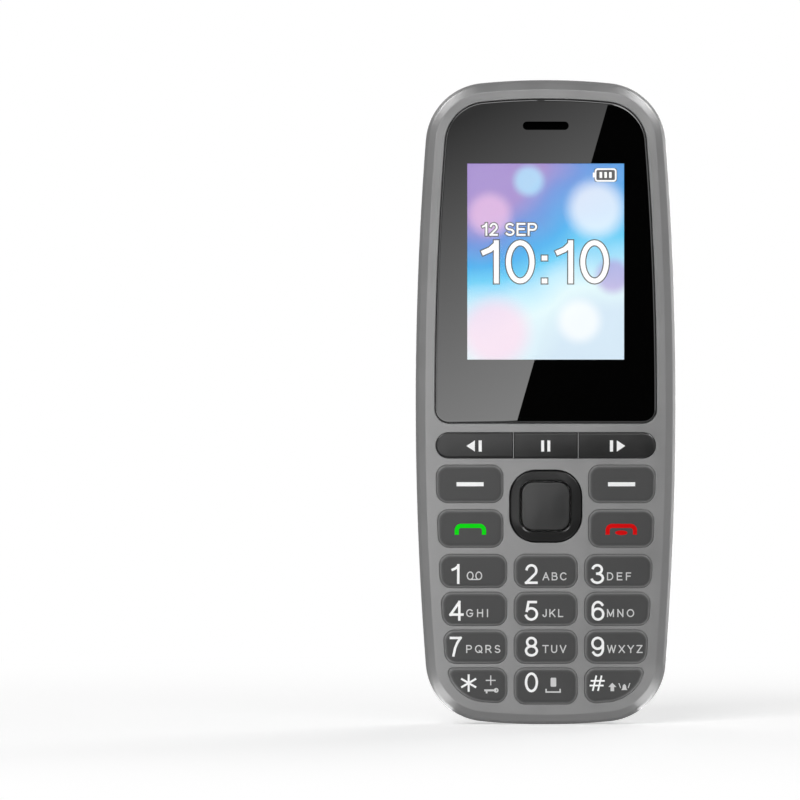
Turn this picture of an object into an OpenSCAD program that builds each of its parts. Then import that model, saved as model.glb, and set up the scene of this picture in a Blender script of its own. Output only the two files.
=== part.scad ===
// Bar phone with a number keypad, standing upright on its lower end.
// The front faces -Y and the earpiece end points to +Z. Sizes are in millimetres.
// Profiles are drawn as seen from the front and run in depth, counted from the front face.

/* [Body] */
// Greatest width of the body, at mid length
body_w = 46.4; // [46:0.2:52]
// Radius of the bowed long sides in front view
side_r = 610; // [450:10:900]
// Radius of the bowed ends in front view
end_r = 118; // [95:1:160]
// Radius of the four corners in front view
corner_r = 11; // [9.5:0.5:13]
// Wall of the front housing and of the rear cover
wall = 1.2; // [1:0.05:1.4]
// Width of the sloped band round the front face
bevel_w = 1.5; // [0.8:0.1:2]
// Depth of the sloped band round the front face
bevel_d = 1.6; // [0.8:0.1:2.4]
// Width over which the rear edge rolls off
roll_w = 7; // [6:0.25:8]
// Depth over which the rear edge rolls off
roll_d = 3.6; // [3:0.2:5]
// Open seam between the front housing and the rear cover
seam_gap = 0.1; // [0.05:0.05:0.3]
// Gap between fixed pieces
fit = 0.1; // [0.05:0.05:0.2]
// Gap between the rear cover and what lies under it
cover_gap = 0.2; // [0.15:0.05:0.3]

/* [Display] */
// Width of the picture area
screen_w = 28; // [26:0.5:30]
// Height of the picture area
screen_h = 35; // [32:0.5:40]
// Lens from its upper edge to the picture area
lens_above = 11.4; // [10.8:0.1:14]
// Lens from its lower edge to the picture area
lens_below = 11.3; // [9.5:0.1:14]
// Thickness of the lens
lens_t = 1; // [0.7:0.05:1.3]
// Depth of the lens below the front face
lens_sink = 0.05; // [0:0.05:0.2]
// Radius of the two lower lens corners
lens_r = 2.4; // [1.5:0.1:3]
// Gap round the lens
lens_gap = 0.15; // [0.1:0.05:0.25]
// Thickness of the adhesive under the lens
tape_t = 0.1; // [0.05:0.05:0.2]
// Housing ledge that carries the lens
ledge_t = 0.45; // [0.4:0.05:0.8]
// Housing opening beyond the picture area, on each side
window_m = 0.8; // [0.4:0.1:1.2]
// Border of the display module beside the picture area
lcd_side = 3; // [2.6:0.1:3.4]
// Border of the display module above the picture area
lcd_above = 2.5; // [2:0.1:3]
// Border of the display module below the picture area
lcd_below = 7; // [6:0.1:8]
// Thickness of the display module
lcd_t = 2.3; // [2.2:0.1:3]
// Length of the earpiece slot
slot_l = 8.2; // [6:0.2:10]
// Height of the earpiece slot
slot_h = 1.5; // [1:0.1:2]
// Earpiece slot from the upper lens edge, to its middle
slot_drop = 4.7; // [4.5:0.1:5]

/* [Keypad] */
// Distance of lens and keys from the outline
edge_m = 3.5; // [3.2:0.1:4.5]
// Height of the lowest number row
low_h = 6.65; // [5.8:0.05:8]
// Height of the other number rows
key_h = 6; // [5.2:0.1:7]
// Gap between number rows
row_gap = 0.75; // [0.7:0.05:1.2]
// Width of the middle number column
mid_w = 11.3; // [9:0.1:13]
// Gap between number columns
col_gap = 1.25; // [0.8:0.05:2]
// Height of the call and soft keys
ctl_h = 6.75; // [6:0.05:8]
// Gap between rows of control keys
ctl_gap = 1.2; // [0.9:0.05:1.6]
// Outer width of the navigation ring
nav_w = 12.8; // [12.4:0.1:13.6]
// Corner radius of the navigation ring
nav_r = 3.9; // [3.2:0.1:4.5]
// Gap between the navigation ring and its neighbours
nav_space = 1.2; // [1.1:0.05:2]
// Width of the select key
select_w = 8.8; // [8:0.1:9]
// Corner radius of the select key
select_r = 2; // [1.2:0.1:2.5]
// Height of the media strip
media_h = 4.6; // [4:0.1:5.6]
// Width of the middle media key
media_w = 11.3; // [9:0.1:13]
// Gap between the media keys
media_slit = 0.25; // [0.2:0.05:0.4]
// Gap between the media strip and the lens
lens_space = 1.7; // [1.4:0.1:2.5]
// Corner radius of the keys
key_r = 1.7; // [1:0.1:2.2]
// Height of the keys above the front face
key_proud = 0.4; // [0.2:0.05:0.6]
// Height of the inner edge of the navigation ring above the front face
ring_proud = 0.6; // [0.45:0.05:0.9]
// Soft edge of the key tops
key_soft = 0.3; // [0.15:0.05:0.4]
// Gap round each key
key_gap = 0.12; // [0.1:0.01:0.15]
// Rim under the front plate that holds a key in
lip_w = 0.26; // [0.22:0.01:0.28]
// Thickness of that rim
lip_t = 0.5; // [0.3:0.05:0.6]
// Travel of a key
travel = 0.3; // [0.2:0.05:0.35]
// Gap round the rocking navigation ring
nav_gap = 0.25; // [0.2:0.01:0.3]
// Rim of the navigation ring under the front plate
nav_lip = 0.5; // [0.4:0.05:0.55]
// Free height for the rocking navigation ring
nav_free = 0.45; // [0.42:0.01:0.6]
// Radius of a key plunger
plunger_r = 1.3; // [1:0.1:1.5]
// Thickness of the silicone mat
mat_t = 0.4; // [0.3:0.05:0.5]
// Radius of a switch dome
dome_r = 2; // [1.5:0.1:2.2]
// Height of a switch dome in pressed state
dome_h = 0.3; // [0.2:0.05:0.4]

/* [Inner stack] */
// Thickness of the circuit board
board_t = 1; // [0.8:0.1:1.2]
// Height of the card holders and the shield behind the board
holder_h = 1.3; // [1.1:0.1:1.8]
// Floor of the battery bay
floor_t = 0.7; // [0.5:0.1:1]
// Battery from the outline, at its lower end
battery_m = 6.2; // [6:0.1:8]
// Length of the battery
battery_l = 48; // [45:0.5:48.5]
// Thickness of the battery
battery_t = 4.8; // [4.4:0.1:6]
// Lower end of the battery above the lower body end
battery_z = 21; // [20.5:0.1:21.4]
// Gap round the battery
battery_gap = 0.15; // [0.1:0.05:0.3]
// Radius of a housing screw
screw_r = 0.8; // [0.6:0.05:0.9]
// Screws from the outline
screw_m = 4.7; // [4.6:0.1:4.9]
// Radius of a screw boss
boss_r = 1.7; // [1.5:0.05:1.8]
// Radius of the boss shoulder under the board
shoulder_r = 2.2; // [2:0.05:2.4]
// Snap tabs of the rear cover, thickness
tab_t = 0.6; // [0.5:0.05:0.7]
// Snap tabs of the rear cover, width
tab_w = 5; // [4:0.25:6]
// Radius of the headset bore
jack_r = 1.8; // [1.7:0.05:1.85]
// Wall round the headset bore
jack_wall = 0.4; // [0.35:0.05:0.5]
// Length of the headset socket
jack_l = 12; // [11:0.25:13]
// Width of the headset socket
jack_w = 6; // [5:0.1:6.4]
// Width of the charging port
usb_w = 7.6; // [7.2:0.1:8]
// Height of the charging port
usb_h = 2.6; // [2.4:0.1:2.8]

/* [Inner parts] */
// Width of a SIM holder
sim_w = 14.4; // [12:0.2:15]
// Length of a SIM holder
sim_l = 21; // [18:0.5:23]
// Width of the memory card holder
card_w = 13.4; // [12:0.2:15]
// Length of the memory card holder
card_l = 16; // [14:0.5:19]
// Width of the shield can
shield_w = 13.4; // [10:0.2:15]
// Length of the shield can
shield_l = 18; // [12:0.5:20]
// Sheet metal of the shield and the holders
sheet_t = 0.2; // [0.15:0.05:0.3]
// Gap between neighbours on the board
board_gap = 1.6; // [1:0.1:3]
// Width of the battery connector
plug_w = 10; // [8:0.5:12]
// Depth of the battery connector
plug_l = 4; // [3:0.25:5]
// Width of the battery contacts
contact_w = 1.2; // [0.8:0.1:1.6]
// Pitch of the battery contacts
contact_p = 3; // [2.4:0.1:3.4]
// Reach of the battery contacts
contact_l = 2; // [1.5:0.1:3]
// Width of the loudspeaker
speaker_w = 11; // [9:0.5:12]
// Length of the loudspeaker
speaker_l = 11; // [9:0.5:12]
// Thickness of the loudspeaker gasket
gasket_t = 0.5; // [0.3:0.05:0.8]
// Width of the camera module
camera_w = 7.8; // [6.5:0.1:8.5]
// Radius of the camera barrel
barrel_r = 2.7; // [2:0.1:3.2]
// Radius of the vibration motor
motor_r = 5; // [4:0.1:5.4]
// Thickness of the vibration motor
motor_t = 2.7; // [2:0.1:3]
// Width of the microphone
mic_w = 3.8; // [3:0.1:4.5]
// Length of the microphone
mic_l = 3; // [2.5:0.1:3.5]
// Height of the microphone
mic_h = 1.1; // [0.9:0.1:1.3]
// Rubber round the microphone
boot_t = 0.8; // [0.6:0.1:1]
// Width of the earpiece receiver
receiver_w = 15; // [10:0.5:16]
// Length of the earpiece receiver
receiver_l = 6; // [5:0.25:6.2]
// Width of the display flex
flex_w = 14; // [8:0.5:18]
// Width of the antenna
antenna_w = 24; // [14:0.5:28]
// Edge of the antenna from its neighbours
antenna_m = 2.5; // [2:0.1:4]

/* [Rear trim] */
// Width of the rear trim
trim_w = 8.3; // [7.6:0.1:9]
// Length of the rear trim
trim_l = 19.6; // [19:0.1:21]
// Middle of the rear trim below the upper body end
trim_drop = 22.8; // [22.5:0.1:23.5]
// Bright rim of the rear trim
trim_rim = 0.4; // [0.3:0.05:0.5]
// Gap round the rear trim
trim_gap = 0.15; // [0.1:0.05:0.3]
// Thickness of the trim rim
trim_t = 0.7; // [0.55:0.05:0.8]
// Ledge of the cover behind the trim
trim_ledge = 0.5; // [0.4:0.05:0.6]
// Trim plate below the rim
trim_sink = 0.1; // [0.05:0.05:0.2]
// Camera axis below the middle of the trim
camera_drop = 5.3; // [5:0.1:5.6]
// Radius of the camera window
camera_r = 1.3; // [1:0.05:1.5]
// Middle of the sound slots above the middle of the trim
sound_rise = 4.7; // [4.4:0.1:5]
// Sound slots, radius of the inner end
sound_in = 1.55; // [1.5:0.05:1.7]
// Sound slots, radius of the outer end
sound_out = 2.55; // [2.2:0.05:2.8]
// Sound slots, width
sound_w = 1.1; // [0.8:0.05:1.2]

/* [Hidden] */
$fn = 48;
side_steps = 8;
corner_steps = 8;
end_steps = 7;
roll_steps = 6;
fillet_steps = 4;
soft_mid = 0.3;
key_grow = [-key_soft, -key_soft * soft_mid, 0];
slit_soft = 0.3;
slit_back = 0.05;
beyond = 1;

// Margins of the display stack
tape_in = 0.3;
tape_free = 0.8;
mesh_m = 0.7;
panel_side = 1.5;
panel_low = 3;
panel_top = 1.2;
panel_back = 0.6;
flex_t = 0.2;
receiver_dip = 0.3;

// Edges of the front face and of the keys
bevel_mid = [0.15, 0.7];
corner_rest = 0.4;
media_flat = 0.05;
ring_flat = 0.2;
ring_edge = 0.15;
ring_edge_d = 0.1;
select_soft = 0.2;

// Rows of the keypad, from below
low_z1 = edge_m + low_h;
row_z0 = [for (i = [0:2]) low_z1 + row_gap + (2 - i) * (key_h + row_gap)];
call_z0 = row_z0[0] + key_h + ctl_gap;
soft_z0 = call_z0 + ctl_h + ctl_gap;
media_z0 = soft_z0 + ctl_h + ctl_gap;
nav_z = soft_z0 - ctl_gap / 2;
side_x = -mid_w / 2 - col_gap;
ctl_x = -nav_w / 2 - nav_space;
media_x = media_w / 2 + media_slit;

// Display and length
lens_z0 = media_z0 + media_h + lens_space;
screen_z0 = lens_z0 + lens_below;
lens_z1 = screen_z0 + screen_h + lens_above;
body_l = lens_z1 + edge_m;
lcd_w = screen_w + 2 * lcd_side;
lcd_z0 = screen_z0 - lcd_below;
lcd_l = lcd_below + screen_h + lcd_above;
slot_z = lens_z1 - slot_drop;

// Depths from the front face
pocket_d = lens_sink + lens_t + tape_t;
face_t = pocket_d + ledge_t;
lcd_d = face_t + fit;
board_d = lcd_d + lcd_t + fit / 2;
split_d = board_d + board_t;
cavity_d = split_d + holder_h + fit;
bay_d = cavity_d + floor_t;
battery_d = bay_d + fit;
rear_d = battery_d + battery_t + fit;
inner_d = rear_d + cover_gap;
body_t = inner_d + wall;
roll_z = body_t - roll_d;
rear_in = wall + cover_gap;
dome_d = board_d - dome_h;
dome_top = 0.6;
lip_d = face_t + fit / 2;
mat_d = lip_d + lip_t + travel + fit;
plunger_d = dome_d - travel - fit / 2;
proud = max(key_proud, ring_proud);
front_y = (proud - body_t) / 2;

// Navigation rocker
nav_in = select_w + 2 * nav_gap;
nav_lip_d = face_t + nav_free;
nav_lip_t = 0.4;
nav_reach = (nav_w + nav_in) / 4;
nav_nub_r = 0.7;
nav_swing = 0.26;
pad_d = nav_lip_d + nav_lip_t + nav_swing;
pad_t = 0.35;
pad_in = 0.5;
pad_w = nav_w - 2 * pad_in;
pad_free = 0.5;
pad_hole = plunger_r + pad_free;
select_free = 0.3;
select_d = pad_d - travel - select_free;
select_sink = 0.15;
select_top = select_sink - ring_proud;

// Corner centre of the outline, where the side arc and the end arc run into the corner arc
side_c = [body_w / 2 - side_r, body_l / 2];
end_c = [0, body_l - end_r];
centre_d = norm(end_c - side_c);
side_k = side_r - corner_r;
end_k = end_r - corner_r;
centre_a = (side_k * side_k - end_k * end_k + centre_d * centre_d) / (2 * centre_d);
centre_h = sqrt(side_k * side_k - centre_a * centre_a);
centre_u = (end_c - side_c) / centre_d;
corner_c = side_c + centre_u * centre_a + [-centre_u.y, centre_u.x] * centre_h;
side_a = atan2(corner_c.y - side_c.y, corner_c.x - side_c.x);
end_a = atan2(corner_c.y - end_c.y, corner_c.x - end_c.x);
low_c = [-corner_c.x, body_l - corner_c.y];

// Screw places
screw_z0 = lcd_z0 - shoulder_r + fit;
screw_z1 = lcd_z0 + lcd_l + shoulder_r + 2 * fit;
screw_x = half_w(screw_z1, screw_m);
screws = [
  [-half_w(screw_z0, screw_m), screw_z0],
  [half_w(screw_z0, screw_m), screw_z0],
  [-screw_x, screw_z1],
  [screw_x, screw_z1]
];

// Pieces behind the board
tab_in = wall + 2 * fit;
board_in = tab_in + tab_t + 4 * fit;
rear_wall = 1.3;
cavity_in = rear_in + rear_wall;
bay_wall = 1.2;
skin_t = 1.2;
tongue_x = 3.4;
tongue_w = 4;
tongue_up = 0.2;
end_cavity_d = rear_d - skin_t;
top_cavity_d = split_d + motor_t + fit;
screw_d = top_cavity_d + floor_t;
head_t = 1;
hole_d = face_t + 0.6;
thread_d = hole_d + 0.2;
drive_share = 0.8;
battery_w = 2 * (half_w(battery_z, battery_m) - battery_gap);
battery_z1 = battery_z + battery_l;
holder_z = battery_z + board_gap;
sim_z = battery_z1 - board_gap - sim_l;
sim_x = (sim_w + board_gap) / 2;
card_x = -(card_w + board_gap) / 2;
card_show = 0.7;
shield_x = (shield_w + board_gap) / 2;
plug_z = battery_z1 + contact_l;
plug_share = 0.65;
plug_d = battery_d + battery_t * plug_share;
trim_z = body_l - trim_drop;
trim_open_w = trim_w - 2 * trim_rim - 2 * trim_ledge;
camera_z = trim_z - camera_drop;
camera_t = 3.4;
window_share = 0.7;
window_d = body_t - trim_t * window_share;
mesh_t = 0.15;
sound_z = trim_z + sound_rise;
speaker_d = top_cavity_d + floor_t;
sound_share = 0.36;
sound_r = speaker_w * sound_share;
cone_d = 0.6;
motor_z = camera_z + camera_w / 2;
motor_x = half_w(motor_z, cavity_in) - motor_r - fit;
jack_d = split_d + jack_r + jack_wall + fit;
jack_nose = jack_r + jack_wall;
jack_end = 1;
jack_x = screw_x - shoulder_r - jack_w / 2 - 4 * fit;
jack_m = 2.4;
jack_z1 = body_l - rear_in - jack_m;
jack_top = body_l - end_r + sqrt(pow(end_r - wall / 3, 2) - jack_x * jack_x);
usb_x = usb_w / 2;
usb_l = 5.2;
usb_z = wall / 2;
usb_sheet = 0.35;
usb_tongue_t = 0.5;
usb_tongue_d = split_d + usb_h / 2 + 0.1;
mic_x = corner_c.x - boot_t;
mic_m = 1;
mic_z = cavity_in + mic_m + boot_t + mic_l / 2;
mic_hole_r = 0.5;
mic_hole_d = split_d + mic_h * 0.7;
mat_z1 = media_z0 + media_h + lip_w + fit;
mat_in = board_in + 0.2;
mat_rim = 0.8;
mat_free = 0.25;
tab_rise = 12;
tab_end = 0.5;
tab_low_z = battery_z + tab_rise;
tab_high_rise = 15.6;
tab_high_z = battery_z1 + tab_high_rise;

KEYS = [
  ["key_1", -1, 0], ["key_2", 0, 0], ["key_3", 1, 0],
  ["key_4", -1, 1], ["key_5", 0, 1], ["key_6", 1, 1],
  ["key_7", -1, 2], ["key_8", 0, 2], ["key_9", 1, 2],
  ["key_star", -1, 3], ["key_0", 0, 3], ["key_hash", 1, 3]
];

// Outlines

function unit(v) = v / norm(v);

function arc(c, r, a0, a1, n) = [
  for (i = [0:n - 1])
    let (a = a0 + (a1 - a0) * i / n)
      c + r * [cos(a), sin(a)]
];

// Body outline moved in by m, counter-clockwise from the lower right
function outline(m) = concat(
  arc(side_c, side_r - m, -side_a, side_a, side_steps),
  arc(corner_c, corner_r - m, side_a, end_a, corner_steps),
  arc(end_c, end_r - m, end_a, 180 - end_a, end_steps),
  arc([-corner_c.x, corner_c.y], corner_r - m, 180 - end_a, 180 - side_a, corner_steps),
  arc([-side_c.x, side_c.y], side_r - m, 180 - side_a, 180 + side_a, side_steps),
  arc(low_c, corner_r - m, 180 + side_a, 180 + end_a, corner_steps),
  arc([0, end_r], end_r - m, 180 + end_a, 360 - end_a, end_steps),
  arc([corner_c.x, low_c.y], corner_r - m, 360 - end_a, 360 - side_a, corner_steps)
);

// Half width of the moved-in outline at height z
function half_w(z, m) =
  let (
    near = min(z, body_l - z),
    r = corner_r - m,
    turn = low_c.y - r * sin(side_a)
  )
  near >= turn
    ? side_c.x + sqrt(pow(side_r - m, 2) - pow(z - body_l / 2, 2))
    : corner_c.x + sqrt(max(0, r * r - pow(near - low_c.y, 2)));

// Lower edge of the moved-in outline at x
function low_z(x, m) = end_r - sqrt(pow(end_r - m, 2) - x * x);

function spin(v, a) = [v.x * cos(a) - v.y * sin(a), v.x * sin(a) + v.y * cos(a)];

function fillet(a, p, b, r) =
  r <= 0 ? [p] :
  let (
    u = unit(a - p),
    v = unit(b - p),
    h = acos(u * v) / 2,
    c = p + unit(u + v) * r / sin(h),
    s = p + u * r / tan(h) - c
  )
  [for (i = [0:fillet_steps]) c + spin(s, (180 - 2 * h) * i / fillet_steps)];

// Convex counter-clockwise polygon with a radius at each corner
function rounded(p, r) =
  let (n = len(p))
  [for (i = [0:n - 1]) each fillet(p[(i + n - 1) % n], p[i], p[(i + 1) % n], r[i])];

function mirrored(p) = [for (i = [len(p) - 1:-1:0]) [-p[i].x, p[i].y]];

function box_outline(x0, x1, z0, z1, r) =
  rounded([[x0, z1], [x0, z0], [x1, z0], [x1, z1]], [r, r, r, r]);

function square_outline(w, z, r) = box_outline(-w / 2, w / 2, z - w / 2, z + w / 2, r);

// Key at the left edge, grown by g
function left_outline(z0, z1, x, g) =
  let (m = edge_m - g, r = key_r + g)
  rounded([
    [-half_w(z1 + g, m), z1 + g],
    [-half_w(z0 - g, m), z0 - g],
    [x + g, z0 - g],
    [x + g, z1 + g]
  ], [r, r, r, r]);

// Key in the lower left corner, which follows the corner arc of the body
function corner_outline(z1, x, g) =
  let (
    m = edge_m - g,
    r = corner_r - m,
    k = key_r + g,
    a0 = asin((low_c.y - z1 + key_r + corner_rest) / r),
    bend = [for (i = [0:6]) low_c - r * [cos(a0 + (end_a - a0) * i / 6), sin(a0 + (end_a - a0) * i / 6)]]
  )
  rounded(
    concat([[-half_w(z1 + g, m), z1 + g]], bend, [[x + g, low_z(x + g, m)], [x + g, z1 + g]]),
    concat([k * 0.7], [for (p = bend) 0], [k, k])
  );

function row_low(row) = row < 3 ? row_z0[row] : low_z(mid_w / 2, edge_m);
function row_high(row) = row < 3 ? row_z0[row] + key_h : low_z1;

function number_outline(col, row, g) =
  col == 0 ? box_outline(-mid_w / 2 - g, mid_w / 2 + g, row_low(row) - g, row_high(row) + g, key_r + g) :
  let (left = row < 3
    ? left_outline(row_low(row), row_high(row), side_x, g)
    : corner_outline(low_z1, side_x, g))
  col < 0 ? left : mirrored(left);

function number_place(col, row) =
  let (z = (row_low(row) + row_high(row)) / 2)
  [col * (half_w(z, edge_m) - side_x) / 2, z];

function control_outline(hand, z0, g) =
  let (left = left_outline(z0, z0 + ctl_h, ctl_x, g))
  hand < 0 ? left : mirrored(left);

function control_place(hand, z0) =
  let (z = z0 + ctl_h / 2)
  [hand * (half_w(z, edge_m) - ctl_x) / 2, z];

// Outer media key, grown by g outside and drawn back by k at the slit
function media_end_outline(g, k) =
  let (
    m = edge_m - g,
    r = media_h / 2 - media_flat + g,
    z0 = media_z0 - g,
    z1 = media_z0 + media_h + g,
    x = -half_w(media_z0, m)
  )
  rounded([[x, z1], [x, z0], [-media_x - k, z0], [-media_x - k, z1]], [r, r, 0, 0]);

function media_mid_outline(g, k) =
  box_outline(-media_w / 2 + k, media_w / 2 - k, media_z0 - g, media_z0 + media_h + g, 0);

function media_opening(g) =
  let (x = half_w(media_z0, edge_m - g))
  box_outline(-x, x, media_z0 - g, media_z0 + media_h + g, media_h / 2 - media_flat + g);

function media_place(hand) =
  [hand * (half_w(media_z0, edge_m) + media_x) / 2, media_z0 + media_h / 2];

// Lens outline, grown by g
function lens_outline(g) =
  let (
    m = edge_m - g,
    x = half_w(lens_z0 - g, m),
    z = lens_z0 - g,
    rise = [for (p = outline(m)) if (p.y > lens_z0 + lens_r + beyond) p]
  )
  rounded(concat([[x, z]], rise, [[-x, z]]), concat([lens_r + g], [for (p = rise) 0], [lens_r + g]));

// Inset and depth of a shell that lies in from the rear surface by m
function shell_steps(m, d0) = concat([[m, d0]], [
  for (i = [0:roll_steps])
    let (a = 90 * i / roll_steps)
      [m + (roll_w - m) * (1 - cos(a)), roll_z + (roll_d - m) * sin(a)]
]);

function reversed(p) = [for (i = [len(p) - 1:-1:0]) p[i]];

function ring(p, d) = [for (q = p) [q.x, front_y + d, q.y]];

function body_rings(steps) = [for (s = steps) ring(outline(s[0]), s[1])];

// Building helpers

module slab(d0, d1) {
  translate([0, front_y + d1, 0])
    rotate([90, 0, 0])
      linear_extrude(height = d1 - d0)
        children();
}

module post(p, r, d0, d1) {
  translate([p.x, front_y + d1, p.y])
    rotate([90, 0, 0])
      cylinder(r = r, h = d1 - d0);
}

module block(x0, x1, z0, z1, d0, d1) {
  translate([x0, front_y + d0, z0])
    cube([x1 - x0, d1 - d0, z1 - z0]);
}

module loft(rings) {
  n = len(rings[0]);
  last = len(rings) - 1;
  points = [for (r = rings) each r];
  sides = [
    for (i = [0:last - 1])
      for (j = [0:n - 1])
        let (a = i * n + j, b = i * n + (j + 1) % n)
          each [[a, b, b + n], [a, b + n, a + n]]
  ];
  front = [for (j = [n - 1:-1:0]) j];
  back = [for (j = [0:n - 1]) last * n + j];
  polyhedron(points = points, faces = concat([front], sides, [back]));
}

module band(m0, m1) {
  difference() {
    polygon(outline(m0));
    polygon(outline(m1));
  }
}

module both_sides() {
  children();
  mirror([1, 0, 0])
    children();
}

module tab_zones(grow) {
  for (z = [tab_low_z, tab_high_z])
    both_sides()
      translate([body_w / 4, z - tab_w / 2 - grow])
        square([body_w / 2, tab_w + 2 * grow]);
}

module stadium(w, l) {
  translate([0, trim_z - (l - w) / 2])
    circle(r = w / 2);
  translate([0, trim_z + (l - w) / 2])
    circle(r = w / 2);
  translate([-w / 2, trim_z - (l - w) / 2])
    square([w, l - w]);
}

module pill(l, h, z) {
  translate([-(l - h) / 2, z - h / 2])
    square([l - h, h]);
  translate([-(l - h) / 2, z])
    circle(r = h / 2);
  translate([(l - h) / 2, z])
    circle(r = h / 2);
}

// Front side

module front_housing() {
  color([0.58, 0.58, 0.58])
    difference() {
      union() {
        loft(body_rings([
          [bevel_w, 0],
          [bevel_w * bevel_mid[0], bevel_d * bevel_mid[1]],
          [0, bevel_d],
          [0, split_d],
          [wall, split_d],
          [wall, face_t]
        ]));
        for (p = screws) {
          post(p, shoulder_r, face_t - ledge_t / 2, board_d);
          post(p, boss_r, face_t - ledge_t / 2, split_d);
        }
      }
      slab(-beyond, pocket_d)
        polygon(lens_outline(lens_gap));
      block(
        -screen_w / 2 - window_m, screen_w / 2 + window_m,
        screen_z0 - window_m, screen_z0 + screen_h + window_m, 0, face_t + beyond
      );
      slab(0, face_t + beyond)
        pill(slot_l, slot_h, slot_z);
      for (k = KEYS)
        slab(-beyond, face_t + beyond)
          polygon(number_outline(k[1], k[2], key_gap));
      for (hand = [-1, 1])
        for (z = [call_z0, soft_z0])
          slab(-beyond, face_t + beyond)
            polygon(control_outline(hand, z, key_gap));
      slab(-beyond, face_t + beyond)
        polygon(media_opening(key_gap));
      slab(-beyond, face_t + beyond)
        polygon(square_outline(nav_w + 2 * nav_gap, nav_z, nav_r + nav_gap));
      for (p = screws)
        post(p, screw_r + fit / 2, hole_d, split_d + beyond);
    }
}

module display_lens() {
  color([0.02, 0.02, 0.02])
    difference() {
      slab(lens_sink, lens_sink + lens_t)
        polygon(lens_outline(0));
      slab(-beyond, pocket_d)
        pill(slot_l, slot_h, slot_z);
    }
}

module lens_adhesive() {
  color([0.1, 0.1, 0.1])
    slab(lens_sink + lens_t, pocket_d)
      difference() {
        polygon(lens_outline(-tape_in));
        translate([-screen_w / 2 - window_m, screen_z0 - window_m])
          square([screen_w + 2 * window_m, screen_h + 2 * window_m]);
        pill(slot_l + 2 * tape_free, slot_h + 2 * tape_free, slot_z);
      }
}

module earpiece_mesh() {
  color([0.12, 0.12, 0.12])
    slab(lens_sink + lens_t, pocket_d)
      pill(slot_l + 2 * mesh_m, slot_h + 2 * mesh_m, slot_z);
}

module lcd_panel() {
  color([0.35, 0.5, 0.8])
    block(
      -screen_w / 2 - panel_side, screen_w / 2 + panel_side,
      lcd_z0 + panel_low, screen_z0 + screen_h + panel_top, lcd_d, lcd_d + lcd_t - panel_back
    );
}

module lcd_frame() {
  color([0.72, 0.73, 0.75])
    difference() {
      block(-lcd_w / 2, lcd_w / 2, lcd_z0, lcd_z0 + lcd_l, lcd_d, lcd_d + lcd_t);
      block(
        -screen_w / 2 - panel_side, screen_w / 2 + panel_side,
        lcd_z0 + panel_low, screen_z0 + screen_h + panel_top, lcd_d - beyond, lcd_d + lcd_t - panel_back
      );
    }
}

module lcd_flex() {
  color([0.75, 0.45, 0.12])
    block(-flex_w / 2, flex_w / 2, lens_z0, lcd_z0, board_d - flex_t, board_d);
}

module earpiece_receiver() {
  color([0.2, 0.2, 0.22])
    difference() {
      block(
        -receiver_w / 2, receiver_w / 2, slot_z - receiver_l / 2, slot_z + receiver_l / 2,
        face_t, board_d - fit
      );
      slab(face_t - beyond, face_t + receiver_dip)
        pill(slot_l, slot_h, slot_z);
    }
}

// Keys

module key_body(outlines, lips, place) {
  color([0.3, 0.3, 0.3]) {
    loft([
      ring(outlines[0], -key_proud),
      ring(outlines[1], -key_proud + key_soft * soft_mid),
      ring(outlines[2], -key_proud + key_soft),
      ring(outlines[2], lip_d),
      ring(lips, lip_d),
      ring(lips, lip_d + lip_t)
    ]);
    post(place, plunger_r, lip_d + lip_t / 2, plunger_d);
  }
}

module number_key(k) {
  key_body(
    [for (g = key_grow) number_outline(k[1], k[2], g)],
    number_outline(k[1], k[2], lip_w),
    number_place(k[1], k[2])
  );
}

module control_key(hand, z0) {
  key_body(
    [for (g = key_grow) control_outline(hand, z0, g)],
    control_outline(hand, z0, lip_w),
    control_place(hand, z0)
  );
}

module media_end_key(hand) {
  left = [for (g = key_grow) media_end_outline(g, -g * slit_soft)];
  rim = media_end_outline(lip_w, slit_back);
  key_body(
    hand < 0 ? left : [for (p = left) mirrored(p)],
    hand < 0 ? rim : mirrored(rim),
    media_place(hand)
  );
}

module media_prev_key() {
  media_end_key(-1);
}

module media_pause_key() {
  key_body(
    [for (g = key_grow) media_mid_outline(g, -g * slit_soft)],
    media_mid_outline(lip_w, slit_back),
    media_place(0)
  );
}

module media_next_key() {
  media_end_key(1);
}

module left_soft_key() {
  control_key(-1, soft_z0);
}

module right_soft_key() {
  control_key(1, soft_z0);
}

module call_key() {
  control_key(-1, call_z0);
}

module end_key() {
  control_key(1, call_z0);
}

module nav_ring() {
  color([0.12, 0.12, 0.12])
    difference() {
      loft([
        ring(square_outline(nav_in + 2 * ring_flat, nav_z, select_r + nav_gap + ring_flat), -ring_proud),
        ring(square_outline(nav_w - 2 * ring_edge, nav_z, nav_r - ring_edge), -ring_edge),
        ring(square_outline(nav_w, nav_z, nav_r), ring_edge_d),
        ring(square_outline(nav_w, nav_z, nav_r), nav_lip_d),
        ring(square_outline(nav_w + 2 * nav_lip, nav_z, nav_r + nav_lip), nav_lip_d),
        ring(square_outline(nav_w + 2 * nav_lip, nav_z, nav_r + nav_lip), nav_lip_d + nav_lip_t)
      ]);
      slab(-proud - beyond, pad_d)
        polygon(square_outline(nav_in, nav_z, select_r + nav_gap));
    }
}

module nav_pad() {
  color([0.6, 0.6, 0.58])
    difference() {
      union() {
        slab(pad_d, pad_d + pad_t)
          polygon(square_outline(pad_w, nav_z, nav_r));
        for (a = [0:90:270])
          post([nav_reach * cos(a), nav_z + nav_reach * sin(a)], nav_nub_r, pad_d, dome_d - nav_swing);
      }
      post([0, nav_z], pad_hole, pad_d - beyond, board_d);
    }
}

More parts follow.
